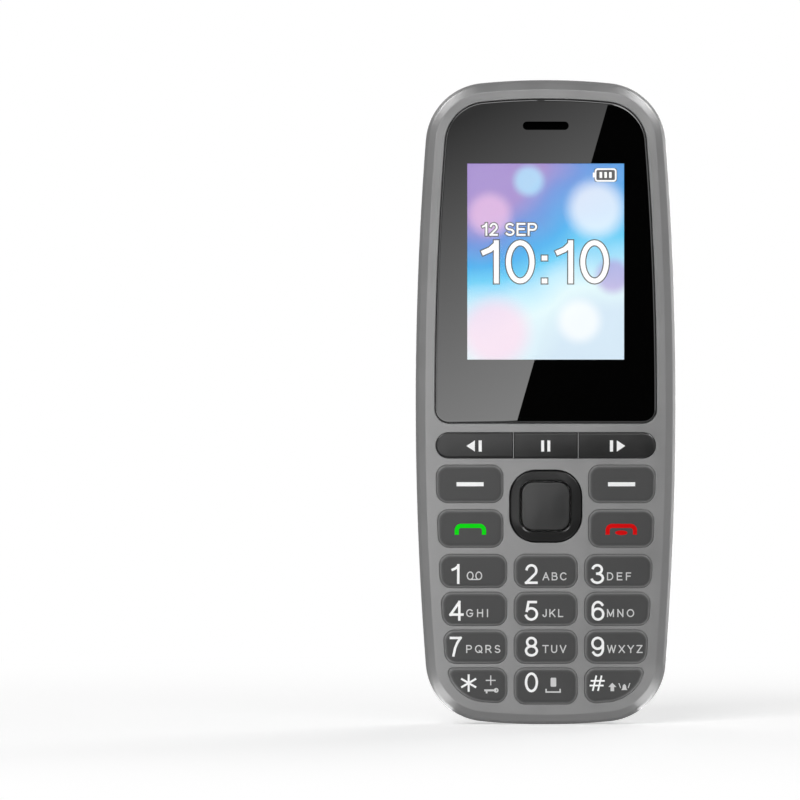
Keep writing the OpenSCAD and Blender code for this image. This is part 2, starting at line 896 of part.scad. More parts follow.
module nav_select_key() {
  color([0.24, 0.24, 0.24]) {
    loft([
      ring(square_outline(select_w - 2 * select_soft, nav_z, select_r - select_soft), select_top),
      ring(square_outline(select_w, nav_z, select_r), select_top + select_soft),
      ring(square_outline(select_w, nav_z, select_r), select_d)
    ]);
    post([0, nav_z], plunger_r, select_d - select_free, plunger_d);
  }
}

module key_holes(r) {
  for (k = KEYS)
    translate(number_place(k[1], k[2]))
      circle(r = r);
  for (hand = [-1, 1])
    for (z = [call_z0, soft_z0])
      translate(control_place(hand, z))
        circle(r = r);
  for (hand = [-1, 0, 1])
    translate(media_place(hand))
      circle(r = r);
}

module keypad_mat() {
  color([0.66, 0.66, 0.64]) {
    slab(mat_d, mat_d + mat_t)
      difference() {
        intersection() {
          polygon(outline(mat_in));
          translate([-body_w / 2, 0])
            square([body_w, mat_z1]);
        }
        key_holes(plunger_r + mat_free);
        polygon(square_outline(nav_w + 2 * nav_lip + mat_rim, nav_z, nav_r + nav_lip));
      }
    slab(mat_d, board_d)
      intersection() {
        band(mat_in, mat_in + mat_rim);
        translate([-body_w / 2, 0])
          square([body_w, mat_z1]);
      }
  }
}

module dome(p) {
  translate([p.x, front_y + board_d, p.y])
    rotate([90, 0, 0])
      cylinder(r1 = dome_r, r2 = dome_r * dome_top, h = dome_h);
}

module switch_domes() {
  color([0.78, 0.78, 0.76]) {
    for (k = KEYS)
      dome(number_place(k[1], k[2]));
    for (hand = [-1, 1])
      for (z = [call_z0, soft_z0])
        dome(control_place(hand, z));
    for (hand = [-1, 0, 1])
      dome(media_place(hand));
    dome([0, nav_z]);
    for (a = [0:90:270])
      dome([nav_reach * cos(a), nav_z + nav_reach * sin(a)]);
  }
}

// Board and what it carries

module main_board() {
  color([0.08, 0.3, 0.16])
    difference() {
      slab(board_d, split_d)
        polygon(outline(board_in));
      for (p = screws)
        post(p, boss_r + fit, board_d - beyond, split_d + beyond);
    }
}

module shield_can() {
  color([0.75, 0.76, 0.77])
    difference() {
      block(
        shield_x - shield_w / 2, shield_x + shield_w / 2, holder_z, holder_z + shield_l,
        split_d, split_d + holder_h
      );
      block(
        shield_x - shield_w / 2 + sheet_t, shield_x + shield_w / 2 - sheet_t,
        holder_z + sheet_t, holder_z + shield_l - sheet_t, split_d - beyond, split_d + holder_h - sheet_t
      );
    }
}

module card_holder(x, z, w, l) {
  difference() {
    block(x - w / 2, x + w / 2, z, z + l, split_d, split_d + holder_h);
    block(
      x - w / 2 + 4 * sheet_t, x + w / 2 - 4 * sheet_t, z - beyond, z + l - 5 * sheet_t,
      split_d + 2 * sheet_t, split_d + holder_h - sheet_t
    );
    block(
      x - w / 4, x + w / 4, z - beyond, z + l * card_show,
      split_d + 3 * sheet_t, split_d + holder_h + beyond
    );
  }
}

module sim_holders() {
  color([0.76, 0.77, 0.78])
    for (x = [-sim_x, sim_x])
      card_holder(x, sim_z, sim_w, sim_l);
}

module memory_card_holder() {
  color([0.76, 0.77, 0.78])
    card_holder(card_x, holder_z, card_w, card_l);
}

module battery() {
  color([0.2, 0.21, 0.24])
    slab(battery_d, battery_d + battery_t)
      polygon(box_outline(-battery_w / 2, battery_w / 2, battery_z, battery_z1, 0.8));
}

module battery_connector() {
  color([0.1, 0.1, 0.1])
    block(-plug_w / 2, plug_w / 2, plug_z, plug_z + plug_l, split_d, plug_d);
}

module battery_contacts() {
  color([0.85, 0.68, 0.3])
    for (x = [-contact_p, 0, contact_p])
      block(
        x - contact_w / 2, x + contact_w / 2, battery_z1 + fit / 2, plug_z,
        plug_d - contact_w * 1.5, plug_d - contact_w / 2
      );
}

module loudspeaker() {
  color([0.15, 0.15, 0.16])
    difference() {
      block(
        -speaker_w / 2, speaker_w / 2, sound_z - speaker_l / 2, sound_z + speaker_l / 2,
        speaker_d + fit / 2, rear_d - gasket_t
      );
      post([0, sound_z], sound_r, rear_d - gasket_t - cone_d, rear_d);
    }
}

module loudspeaker_gasket() {
  color([0.08, 0.08, 0.08])
    difference() {
      block(
        -speaker_w / 2 + fit, speaker_w / 2 - fit, sound_z - speaker_l / 2 + fit,
        sound_z + speaker_l / 2 - fit, rear_d - gasket_t, rear_d + cover_gap - fit / 2
      );
      post([0, sound_z], sound_r, rear_d - gasket_t - beyond, rear_d + beyond);
    }
}

module camera_module() {
  color([0.1, 0.1, 0.11]) {
    block(
      -camera_w / 2, camera_w / 2, camera_z - camera_w / 2, camera_z + camera_w / 2,
      split_d, split_d + camera_t
    );
    post([0, camera_z], barrel_r, split_d + camera_t / 2, rear_d);
  }
}

module vibration_motor() {
  color([0.72, 0.73, 0.74])
    post([motor_x, motor_z], motor_r, split_d, split_d + motor_t);
}

module mic_block(grow, d0, d1) {
  block(
    mic_x - mic_w / 2 - grow, mic_x + mic_w / 2 + grow, mic_z - mic_l / 2 - grow,
    mic_z + mic_l / 2 + grow, d0, d1
  );
}

module mic_channel(r) {
  translate([mic_x, front_y + mic_hole_d, -beyond])
    cylinder(r = r, h = mic_z + beyond);
}

module microphone() {
  color([0.74, 0.74, 0.72])
    mic_block(0, split_d, split_d + mic_h);
}

module microphone_boot() {
  color([0.12, 0.12, 0.12])
    difference() {
      mic_block(boot_t, split_d, split_d + mic_h + boot_t);
      mic_block(0, split_d - beyond, split_d + mic_h);
      mic_channel(mic_hole_r);
    }
}

module usb_port() {
  color([0.78, 0.78, 0.79])
    difference() {
      block(-usb_x, usb_x, usb_z, usb_z + usb_l, split_d, split_d + usb_h);
      block(
        -usb_x + usb_sheet, usb_x - usb_sheet, -beyond, usb_z + usb_l - 2 * usb_sheet,
        split_d + usb_sheet, split_d + usb_h - usb_sheet
      );
    }
  color([0.05, 0.05, 0.05])
    block(
      -usb_x + usb_w / 6, usb_x - usb_w / 6, wall, usb_z + usb_l,
      usb_tongue_d, usb_tongue_d + usb_tongue_t
    );
}

module headset_jack() {
  color([0.08, 0.08, 0.08])
    difference() {
      union() {
        block(
          -jack_x - jack_w / 2, -jack_x + jack_w / 2, jack_z1 - jack_l, jack_z1,
          split_d, jack_d + jack_nose
        );
        translate([-jack_x, front_y + jack_d, jack_z1 - beyond])
          cylinder(r = jack_nose, h = jack_top - jack_z1 + beyond);
      }
      translate([-jack_x, front_y + jack_d, jack_z1 - jack_l + jack_end])
        cylinder(r = jack_r, h = body_l);
    }
}

// Rear side

module rear_housing() {
  color([0.13, 0.13, 0.14])
    difference() {
      union() {
        difference() {
          loft(body_rings(shell_steps(rear_in, split_d + fit)));
          slab(split_d - beyond, cavity_d)
            polygon(outline(cavity_in));
          slab(split_d - beyond, end_cavity_d)
            intersection() {
              polygon(outline(cavity_in));
              translate([-body_w / 2, 0])
                square([body_w, battery_z - battery_gap - bay_wall]);
            }
          slab(split_d - beyond, top_cavity_d)
            intersection() {
              polygon(outline(cavity_in));
              translate([-body_w / 2, plug_z + plug_l + bay_wall])
                square([body_w, body_l]);
            }
        }
        for (p = screws)
          post(p, shoulder_r, split_d + fit, screw_d + head_t);
        slab(board_d - tongue_up, split_d + beyond)
          intersection() {
            band(tab_in, tab_in + tab_t);
            both_sides()
              translate([usb_x + tongue_x, 0])
                square([tongue_w, wall * 3]);
          }
      }
      block(
        -battery_w / 2 - battery_gap, battery_w / 2 + battery_gap,
        battery_z - battery_gap, battery_z1 + battery_gap, bay_d, body_t
      );
      block(
        -plug_w / 2 - fit, plug_w / 2 + fit, plug_z - fit, plug_z + plug_l + fit, split_d - beyond, body_t
      );
      block(
        -contact_p - contact_w, contact_p + contact_w, battery_z1, plug_z,
        plug_d - contact_w * 2, body_t
      );
      for (x = [-sim_x, sim_x])
        block(
          x - sim_w / 2 + board_gap, x + sim_w / 2 - board_gap, sim_z, sim_z + sim_l - board_gap,
          cavity_d - beyond, bay_d + beyond
        );
      block(
        card_x - card_w / 2 + board_gap, card_x + card_w / 2 - board_gap, holder_z,
        holder_z + card_l - board_gap, cavity_d - beyond, bay_d + beyond
      );
      block(
        -speaker_w / 2 - fit, speaker_w / 2 + fit, sound_z - speaker_l / 2 - fit,
        sound_z + speaker_l / 2 + fit, speaker_d, body_t
      );
      block(
        -camera_w / 2 - fit, camera_w / 2 + fit, camera_z - camera_w / 2 - fit,
        camera_z + camera_w / 2 + fit, split_d - beyond, split_d + camera_t + fit
      );
      post([0, camera_z], barrel_r + fit, split_d - beyond, body_t);
      block(
        -jack_x - jack_w / 2 - fit, -jack_x + jack_w / 2 + fit, jack_z1 - jack_l - fit, jack_z1 + fit,
        split_d - beyond, jack_d + jack_nose + fit
      );
      block(
        -jack_x - jack_nose - fit, -jack_x + jack_nose + fit, jack_z1, body_l,
        split_d - beyond, jack_d + jack_nose + fit
      );
      block(
        -usb_x - fit, usb_x + fit, -beyond, usb_z + usb_l + fit,
        split_d - beyond, split_d + usb_h + fit
      );
      mic_channel(mic_hole_r);
      for (p = screws) {
        post(p, screw_r + fit, split_d - beyond, body_t);
        post(p, screw_r * 2 + fit, screw_d, body_t);
      }
      slab(split_d - beyond, body_t)
        intersection() {
          band(rear_in - beyond, tab_in + tab_t + 3 * fit);
          tab_zones(4 * fit);
        }
    }
}

module housing_screws() {
  color([0.5, 0.5, 0.52])
    for (p = screws)
      difference() {
        union() {
          post(p, screw_r, thread_d, screw_d + head_t / 2);
          post(p, screw_r * 2, screw_d, screw_d + head_t);
        }
        post(p, screw_r * drive_share, screw_d + head_t / 2, screw_d + head_t + beyond);
      }
}

module antenna_flex() {
  color([0.72, 0.5, 0.2])
    block(-antenna_w / 2, antenna_w / 2, roll_w + antenna_m, battery_z - antenna_m, rear_d, rear_d + fit);
}

module rear_cover() {
  color([0.5, 0.5, 0.5])
    difference() {
      union() {
        loft(body_rings(concat(
          reversed(shell_steps(wall, split_d + seam_gap)),
          shell_steps(0, split_d + seam_gap)
        )));
        slab(split_d + seam_gap, roll_z - tab_end)
          intersection() {
            band(wall / 2, tab_in + tab_t);
            tab_zones(0);
          }
        slab(board_d, split_d + beyond)
          intersection() {
            band(tab_in, tab_in + tab_t);
            tab_zones(0);
          }
      }
      slab(body_t - trim_t, body_t + beyond)
        stadium(trim_w + 2 * trim_gap, trim_l + 2 * trim_gap);
      slab(inner_d - beyond, body_t)
        stadium(trim_open_w, trim_l - trim_w + trim_open_w);
      translate([-jack_x, front_y + jack_d, body_l / 2])
        cylinder(r = jack_nose + fit, h = body_l);
      block(
        -jack_x - jack_nose - fit, -jack_x + jack_nose + fit,
        body_l / 2, body_l + beyond, split_d - beyond, jack_d
      );
      block(
        -usb_x - 2 * fit, usb_x + 2 * fit, -beyond, body_l / 4,
        split_d - beyond, split_d + usb_h + 2 * fit
      );
      mic_channel(mic_hole_r);
    }
}

module rear_trim_ring() {
  color([0.85, 0.85, 0.86])
    slab(body_t - trim_t, body_t)
      difference() {
        stadium(trim_w, trim_l);
        stadium(trim_w - 2 * trim_rim, trim_l - 2 * trim_rim);
      }
}

module rear_trim_plate() {
  color([0.18, 0.17, 0.16])
    difference() {
      slab(body_t - trim_t, body_t - trim_sink)
        stadium(trim_w - 2 * trim_rim - fit, trim_l - 2 * trim_rim - fit);
      slab(inner_d, body_t + beyond)
        for (a = [90:60:390])
          translate([0, sound_z])
            rotate(a) {
              translate([sound_in, -sound_w / 2])
                square([sound_out - sound_in, sound_w]);
              translate([sound_in, 0])
                circle(r = sound_w / 2);
              translate([sound_out, 0])
                circle(r = sound_w / 2);
            }
      post([0, camera_z], camera_r + fit / 2, window_d, body_t + beyond);
      post([0, camera_z], camera_r * window_share, inner_d, body_t);
    }
}

module camera_window() {
  color([0.05, 0.05, 0.08])
    post([0, camera_z], camera_r, window_d, body_t - trim_sink);
}

module sound_mesh() {
  color([0.06, 0.06, 0.06])
    post([0, sound_z], trim_open_w / 2 - fit / 2, body_t - trim_t - mesh_t, body_t - trim_t);
}

front_housing();
display_lens();
lens_adhesive();
earpiece_mesh();
lcd_panel();
lcd_frame();
lcd_flex();
earpiece_receiver();
keypad_mat();
switch_domes();
main_board();
shield_can();
sim_holders();
memory_card_holder();
battery();
battery_connector();
battery_contacts();
loudspeaker();
loudspeaker_gasket();
camera_module();
vibration_motor();
microphone();
microphone_boot();
usb_port();
headset_jack();
antenna_flex();
rear_housing();
housing_screws();
rear_cover();
rear_trim_ring();
rear_trim_plate();
camera_window();
sound_mesh();
nav_pad();
nav_ring();
nav_select_key();
media_prev_key();
media_pause_key();
media_next_key();
left_soft_key();
right_soft_key();
call_key();
end_key();
for (k = KEYS)
  number_key(k);
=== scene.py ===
"""Looks of a bar phone with a number keypad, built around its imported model.

Outlines are drawn in millimetres as seen from the front, x to the right and z up.
Depth is counted in millimetres from the front face to the rear.
"""

import math
from functools import partial

import bmesh
import bpy
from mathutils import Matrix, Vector, geometry

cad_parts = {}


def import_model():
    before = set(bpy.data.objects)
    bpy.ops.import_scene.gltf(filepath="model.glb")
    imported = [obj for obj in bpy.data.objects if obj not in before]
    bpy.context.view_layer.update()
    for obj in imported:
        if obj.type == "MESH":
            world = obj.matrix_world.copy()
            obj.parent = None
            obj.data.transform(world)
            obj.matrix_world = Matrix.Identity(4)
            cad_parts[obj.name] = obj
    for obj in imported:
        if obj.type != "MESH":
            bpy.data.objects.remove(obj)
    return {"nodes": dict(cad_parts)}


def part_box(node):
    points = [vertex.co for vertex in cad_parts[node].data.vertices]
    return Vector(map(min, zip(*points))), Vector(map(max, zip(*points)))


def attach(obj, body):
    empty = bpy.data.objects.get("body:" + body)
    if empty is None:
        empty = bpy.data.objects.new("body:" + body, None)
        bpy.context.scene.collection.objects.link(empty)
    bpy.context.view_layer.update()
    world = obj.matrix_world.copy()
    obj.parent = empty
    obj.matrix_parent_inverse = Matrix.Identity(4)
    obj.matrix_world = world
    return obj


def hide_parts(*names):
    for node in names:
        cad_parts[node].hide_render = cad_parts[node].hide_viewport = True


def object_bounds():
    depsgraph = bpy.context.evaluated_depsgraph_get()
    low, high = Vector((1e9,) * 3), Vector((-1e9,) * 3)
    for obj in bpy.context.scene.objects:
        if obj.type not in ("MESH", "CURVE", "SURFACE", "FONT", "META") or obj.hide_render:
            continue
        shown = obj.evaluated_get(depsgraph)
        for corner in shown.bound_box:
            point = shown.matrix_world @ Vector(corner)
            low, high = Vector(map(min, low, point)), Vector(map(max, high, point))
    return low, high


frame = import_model()
CAD_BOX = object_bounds()

MM = 0.001


def node_box(node):
    """Lowest and highest corner of a node, in millimetres."""
    low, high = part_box(node)
    return low / MM, high / MM


HOUSING_LOW, HOUSING_HIGH = node_box("front_housing")
FRONT_Y = HOUSING_LOW.y


def node_middle(node):
    low, high = node_box(node)
    return (low + high) / 2


def node_depths(node):
    """Depth of a node's front and rear."""
    return [corner.y - FRONT_Y for corner in node_box(node)]


# Body sizes
SIDE_R = 610
END_R = 118
CORNER_R = 11
WALL = 1.2
BEVEL_W = 1.75
BEVEL_D = 1.6
BEVEL_MID = (0.52, 0.78)
BEVEL_RADII = (0.5, 0.8, 0.5)
ROLL_W = 7
ROLL_D = 3.6
CROWN_X = 16.2
CROWN_SAG = 0.55
SEAM = 0.1
TONGUE_IN = 0.5
TONGUE_L = 0.5
TONGUE_FRONT = 0.02
COVER_FRONT = -1
FIT = 0.1
EDGE_R = 0.06
POCKET_R = 0.08
STRIP = 0.1
BODY_W = HOUSING_HIGH.x - HOUSING_LOW.x
BODY_L = HOUSING_HIGH.z + HOUSING_LOW.z
SPLIT_D = node_depths("front_housing")[1]
BODY_T = node_depths("rear_cover")[1]
ROLL_Z = BODY_T - ROLL_D

# Steps of round stretches
SIDE_STEPS = 24
CORNER_STEPS = 24
END_STEPS = 17
FILLET_STEPS = 8
EDGE_STEPS = 4
SOFT_STEPS = 6
SELECT_STEPS = 5
ROLL_STEPS = 14
CROWN_STEPS = 10
TRIM_STEPS = 6
DOME_STEPS = 7
TAB_STEPS = 6
BOW_STEPS = 6
BOW_TURN = 12
ROUND_STEPS = 48
HALF_STEPS = ROUND_STEPS // 2

# Limits of the mesh tools
SNAP = 0.001
TINY = 1e-6
INSIDE_ONLY = 1
MITRE_MIN = 0.6

# Display sizes
EDGE_M = 3.5
LENS_R = 2.4
LENS_FREE = 1
LENS_GAP = 0.15
LENS_SOFT = 0.35
LENS_ROLL = 0.15
LEDGE_T = 0.45
WINDOW_M = 0.8
MESH_M = 0.7
PANEL_SIDE = 1.5
PANEL_LOW = 4
PANEL_TOP = 1.2
LENS_D0, LENS_D1 = node_depths("display_lens")
LENS_Z0 = node_box("display_lens")[0].z
POCKET_D = node_depths("lens_adhesive")[1]
FACE_T = POCKET_D + LEDGE_T
PANEL_BOX = node_box("lcd_panel")
PANEL_D0, PANEL_D1 = node_depths("lcd_panel")
SCREEN_W = PANEL_BOX[1].x - PANEL_BOX[0].x - 2 * PANEL_SIDE
SCREEN_Z0 = PANEL_BOX[0].z + PANEL_LOW
SCREEN_Z1 = PANEL_BOX[1].z - PANEL_TOP
SLOT_LOW, SLOT_HIGH = node_box("earpiece_mesh")
SLOT_L = SLOT_HIGH.x - SLOT_LOW.x - 2 * MESH_M
SLOT_H = SLOT_HIGH.z - SLOT_LOW.z - 2 * MESH_M
SLOT_Z = node_middle("earpiece_mesh").z

# Keypad sizes
KEY_R = 2.0
KEY_PROUD = 0.4
KEY_SOFT = 0.75
MEDIA_SOFT = 0.45
KEY_GAP = 0.03
CORNER_REST = 0.4
CORNER_TIP = 0.45
LIP_W = 0.26
LIP_T = 0.5
LIP_D = FACE_T + FIT / 2
PLUNGER_R = 1.3
SLIT_SOFT = 0.3
SLIT_BACK = 0.05
MEDIA_FLAT = 0.05
MEDIA_DOME = ((1.7, 0), (1.2, 0.015), (0.8, 0.04))
MEDIA_LOW, MEDIA_HIGH = node_box("media_pause_key")
RIB_W = 0.13
RIB_D = -0.3
NAV_GAP = 0.12
NAV_LIP = 0.5
NAV_LIP_T = 0.4
NAV_R = 4.6
SELECT_R = 2
SELECT_SOFT = 0.25
SELECT_GAP = 0.22
SELECT_DOME = ((3.6, 0), (2.6, 0.015), (1.6, 0.05), (0.8, 0.1))
SELECT_DEEP = SELECT_SOFT + SELECT_DOME[-1][1]
SELECT_R_MIN = 0.4
SELECT_TAPER = 0.6
RING_FLAT = 0.2
RING_SOFT = 0.15
RING_CREST = 0.25
RING_BEND = Vector((0.7, 0.25))
RING_TURN = 0.3
RING_FALL = 0.03
RING_RISE = 0.12
NAV_LOW, NAV_HIGH = node_box("nav_ring")
NAV_W = NAV_HIGH.x - NAV_LOW.x - 2 * NAV_LIP
NAV_Z = node_middle("nav_ring").z
RING_D0, RING_D1 = node_depths("nav_ring")
SELECT_LOW, SELECT_HIGH = node_box("nav_select_key")
SELECT_W = SELECT_HIGH.x - SELECT_LOW.x + 2 * NAV_GAP - 2 * SELECT_GAP
SELECT_D0, SELECT_D1 = node_depths("nav_select_key")
SELECT_BACK = 2.11
NUMBER_ROWS = (("key_1", "key_2", "key_3"), ("key_4", "key_5", "key_6"),
               ("key_7", "key_8", "key_9"), ("key_star", "key_0", "key_hash"))
CORNER_KEYS = NUMBER_ROWS[3][::2]
CONTROL_HANDS = {"left_soft_key": -1, "right_soft_key": 1, "call_key": -1, "end_key": 1}
MEDIA_HANDS = {"media_prev_key": -1, "media_pause_key": 0, "media_next_key": 1}

# Rear trim sizes
TRIM_LOW, TRIM_HIGH = node_box("rear_trim_ring")
TRIM_W = TRIM_HIGH.x - TRIM_LOW.x
TRIM_L = TRIM_HIGH.z - TRIM_LOW.z
TRIM_Z = node_middle("rear_trim_ring").z
TRIM_D0 = node_depths("rear_trim_ring")[0]
TRIM_RIM = 0.4
TRIM_CREST = 0.8
TRIM_GAP = 0.15
TRIM_LEDGE = 0.5
PLATE_D1 = node_depths("rear_trim_plate")[1]
CAMERA_LOW, CAMERA_HIGH = node_box("camera_window")
CAMERA_Z = node_middle("camera_window").z
CAMERA_R = (CAMERA_HIGH.x - CAMERA_LOW.x) / 2
CAMERA_D0 = node_depths("camera_window")[0]
CAMERA_EYE_R = 0.8
CAMERA_HOLE_R = 0.91
SOUND_Z = node_middle("sound_mesh").z
SOUND_IN = 1.55
SOUND_OUT = 2.55
SOUND_W = 1.1
SOUND_COUNT = 6
COLLAR_SOFT = 0.06
GLASS_SINK = 0.12
DOME_RISE = 0.16

# Battery label
LABEL_SIDE = 2
LABEL_LOW = 4
LABEL_TOP = 6
LABEL_R = 1.2
LABEL_T = 0.05
STRIPE_R = 0.1
STRIPE_RISE = 0.02

# Stripes of the label: lower or upper end of the battery, place from there and height
STRIPES = ((0, 8, 1.6), (0, 11, 0.7), (1, -11, 0.7))

# Sockets at the ends
JACK_NOSE = 2.2
MIC_IN = 0.77
MIC_R = 0.5
MIC_CUT = (-1, 3)
CUT_OUT = 2
CUT_IN = 4

# Snap tabs of the cover
TAB_IN = WALL + 2 * FIT
TAB_T = 0.6
TAB_W = 5
TAB_ZS = (33, 84.6)
TAB_SHORT = 0.5
TAB_D0 = 4.05
TAB_D1 = ROLL_Z - TAB_SHORT


# Outlines

def spots(*pairs):
    """Points from pairs of numbers."""
    return [Vector(pair) for pair in pairs]


def arc(centre, radius, start, end, steps):
    """Points on an arc from start to just before end, in degrees."""
    points = []
    for i in range(steps):
        a = math.radians(start + (end - start) * i / steps)
        points.append(Vector((centre[0] + radius * math.cos(a), centre[1] + radius * math.sin(a))))
    return points


def corner_centre(side_c, end_c):
    """Centre of the corner arc that runs into the side arc and the end arc."""
    side_k = SIDE_R - CORNER_R
    end_k = END_R - CORNER_R
    span = (end_c - side_c).length
    along = (side_k ** 2 - end_k ** 2 + span ** 2) / (2 * span)
    across = math.sqrt(side_k ** 2 - along ** 2)
    unit = (end_c - side_c) / span
    return side_c + unit * along + Vector((-unit.y, unit.x)) * across


def slope(a, b):
    """Direction from one point to another, in degrees."""
    return math.degrees(math.atan2(b.y - a.y, b.x - a.x))


SIDE_C = Vector((BODY_W / 2 - SIDE_R, BODY_L / 2))
END_C = Vector((0, BODY_L - END_R))
CORNER_C = corner_centre(SIDE_C, END_C)
SIDE_A = slope(SIDE_C, CORNER_C)
END_A = slope(END_C, CORNER_C)
LOW_C = Vector((-CORNER_C.x, BODY_L - CORNER_C.y))


def outline(inset):
    """Body outline moved in, counter-clockwise from the lower right."""
    left_c = (-CORNER_C.x, CORNER_C.y)
    half = (
        arc(SIDE_C, SIDE_R - inset, -SIDE_A, SIDE_A, SIDE_STEPS)
        + arc(CORNER_C, CORNER_R - inset, SIDE_A, END_A, CORNER_STEPS)
        + arc(END_C, END_R - inset, END_A, 180 - END_A, END_STEPS)
        + arc(left_c, CORNER_R - inset, 180 - END_A, 180 - SIDE_A, CORNER_STEPS)
    )
    for p in half:
        p.y = min(p.y, HOUSING_HIGH.z)
    return half + [Vector((-p.x, BODY_L - p.y)) for p in half]


def half_w(z, inset):
    """Half width of the moved-in outline at height z."""
    near = min(z, BODY_L - z)
    r = CORNER_R - inset
    if near >= LOW_C.y - r * math.sin(math.radians(SIDE_A)):
        return SIDE_C.x + math.sqrt((SIDE_R - inset) ** 2 - (z - BODY_L / 2) ** 2)
    return CORNER_C.x + math.sqrt(max(0, r * r - (near - LOW_C.y) ** 2))


def low_z(x, inset):
    """Lower edge of the moved-in outline at x."""
    return END_R - math.sqrt((END_R - inset) ** 2 - x * x)


def fillet(a, p, b, radius, steps=FILLET_STEPS):
    """Points of a round between the lines p-a and p-b."""
    if radius <= 0:
        return [p]
    u = (a - p).normalized()
    v = (b - p).normalized()
    half = u.angle(v) / 2
    centre = p + (u + v).normalized() * radius / math.sin(half)
    first = p + u * radius / math.tan(half) - centre
    last = p + v * radius / math.tan(half) - centre
    start = math.atan2(first.y, first.x)
    turn = math.remainder(math.atan2(last.y, last.x) - start, math.tau)
    angles = [start + turn * i / steps for i in range(steps + 1)]
    return [centre + radius * Vector((math.cos(t), math.sin(t))) for t in angles]


def rounded(points, radii):
    """Polygon with a radius at each corner."""
    made = []
    for i, p in enumerate(points):
        made += fillet(points[i - 1], p, points[(i + 1) % len(points)], radii[i])
    return made


def box_outline(x0, x1, z0, z1, radius):
    return rounded(spots((x0, z1), (x0, z0), (x1, z0), (x1, z1)), [radius] * 4)


def square_outline(width, z, radius):
    return box_outline(-width / 2, width / 2, z - width / 2, z + width / 2, radius)


def mirrored(points):
    return [Vector((-p.x, p.y)) for p in reversed(points)]


def circle(centre, radius, steps=ROUND_STEPS):
    return arc(centre, radius, 0, 360, steps)


def capsule(start, end, width):
    """Outline with round ends about the line from start to end."""
    a = slope(start, end)
    made = []
    for centre, first in ((end, a - 90), (start, a + 90)):
        last = math.radians(first + 180)
        made += arc(centre, width / 2, first, first + 180, HALF_STEPS)
        made.append(centre + width / 2 * Vector((math.cos(last), math.sin(last))))
    return made


def upright(width, length, z):
    """Capsule outline that stands on end, about the middle line."""
    reach = (length - width) / 2
    return capsule(Vector((0, z - reach)), Vector((0, z + reach)), width)


def lying(length, height, z):
    """Capsule outline that lies flat, about the middle line."""
    reach = (length - height) / 2
    return capsule(Vector((-reach, z)), Vector((reach, z)), height)


def lens_outline(grow):
    """Lens, which follows the body outline above and has two round corners below."""
    z = LENS_Z0 - grow
    x = half_w(z, EDGE_M - grow)
    rise = [p for p in outline(EDGE_M - grow) if p.y > LENS_Z0 + LENS_R + LENS_FREE]
    r = LENS_R + grow
    return rounded(spots((x, z), *rise, (-x, z)), [r] + [0] * len(rise) + [r])


def left_outline(z0, z1, x, grow):
    """Key at the left edge of the keypad."""
    inset = EDGE_M - grow
    x += grow
    z0 -= grow
    z1 += grow
    points = spots((-half_w(z1, inset), z1), (-half_w(z0, inset), z0), (x, z0), (x, z1))
    return rounded(points, [KEY_R + grow] * 4)


def corner_outline(z1, x, grow):
    """Key in the lower left corner, which follows the corner arc of the body."""
    inset = EDGE_M - grow
    r = CORNER_R - inset
    k = KEY_R + grow
    start = math.degrees(math.asin((LOW_C.y - z1 + KEY_R + CORNER_REST) / r))
    bend = arc(LOW_C, r, 180 + start, 180 + END_A, CORNER_STEPS)
    x += grow
    z1 += grow
    points = spots((-half_w(z1, inset), z1), *bend, (x, low_z(x, inset)), (x, z1))
    return rounded(points, [k * CORNER_TIP] + [0] * len(bend) + [k, k])


def key_room(node):
    """Corners of a key's top, without the rim under the front plate."""
    low, high = node_box(node)
    rim = Vector((LIP_W, 0, LIP_W))
    return low + rim, high - rim


def side_key(node, hand, grow):
    """Key of the left or right column, drawn at the left and mirrored for the right."""
    low, high = key_room(node)
    inner = -min(abs(low.x), abs(high.x))
    if node in CORNER_KEYS:
        left = corner_outline(high.z, inner, grow)
    else:
        left = left_outline(low.z, high.z, inner, grow)
    return left if hand < 0 else mirrored(left)


def middle_key(node, grow):
    low, high = key_room(node)
    return box_outline(low.x - grow, high.x + grow, low.z - grow, high.z + grow, KEY_R + grow)


def media_key(node, hand, grow):
    """One part of the media strip, drawn back a little at its slits."""
    low, high = node_box(node)
    z0 = low.z + LIP_W - grow
    z1 = high.z - LIP_W + grow
    back = SLIT_BACK if grow > 0 else min(-grow, MEDIA_SOFT) * SLIT_SOFT
    if hand == 0:
        return box_outline(low.x + back, high.x - back, z0, z1, 0)
    inner = -min(abs(low.x), abs(high.x)) - back
    outer = -half_w(low.z + LIP_W, EDGE_M - grow)
    r = (high.z - low.z) / 2 - LIP_W - MEDIA_FLAT + grow
    left = rounded(spots((outer, z1), (outer, z0), (inner, z0), (inner, z1)), [r, r, 0, 0])
    return left if hand < 0 else mirrored(left)


def media_opening(grow):
    z0 = MEDIA_LOW.z + LIP_W
    z1 = MEDIA_HIGH.z - LIP_W
    x = half_w(z0, EDGE_M - grow)
    return box_outline(-x, x, z0 - grow, z1 + grow, (z1 - z0) / 2 - MEDIA_FLAT + grow)


def number_shapes():
    """Outline function of each number key, by node."""
    shapes = {}
    for left, middle, right in NUMBER_ROWS:
        shapes[left] = partial(side_key, left, -1)
        shapes[middle] = partial(middle_key, middle)
        shapes[right] = partial(side_key, right, 1)
    return shapes


NUMBER_SHAPES = number_shapes()
CONTROL_SHAPES = {n: partial(side_key, n, hand) for n, hand in CONTROL_HANDS.items()}
MEDIA_SHAPES = {n: partial(media_key, n, hand) for n, hand in MEDIA_HANDS.items()}


def nav_opening(grow):
    extra = NAV_GAP - KEY_GAP + grow
    return square_outline(NAV_W + 2 * extra, NAV_Z, NAV_R + extra)


def quarter(inward, deep, steps=EDGE_STEPS):
    """Inset and depth along a quarter round, from a strip of the flat face down to a wall."""
    angles = [math.pi / 2 * i / steps for i in range(steps + 1)]
    return [(inward + STRIP, 0)] + [(inward * (1 - math.sin(t)), deep * (1 - math.cos(t))) for t in angles]


# Meshes

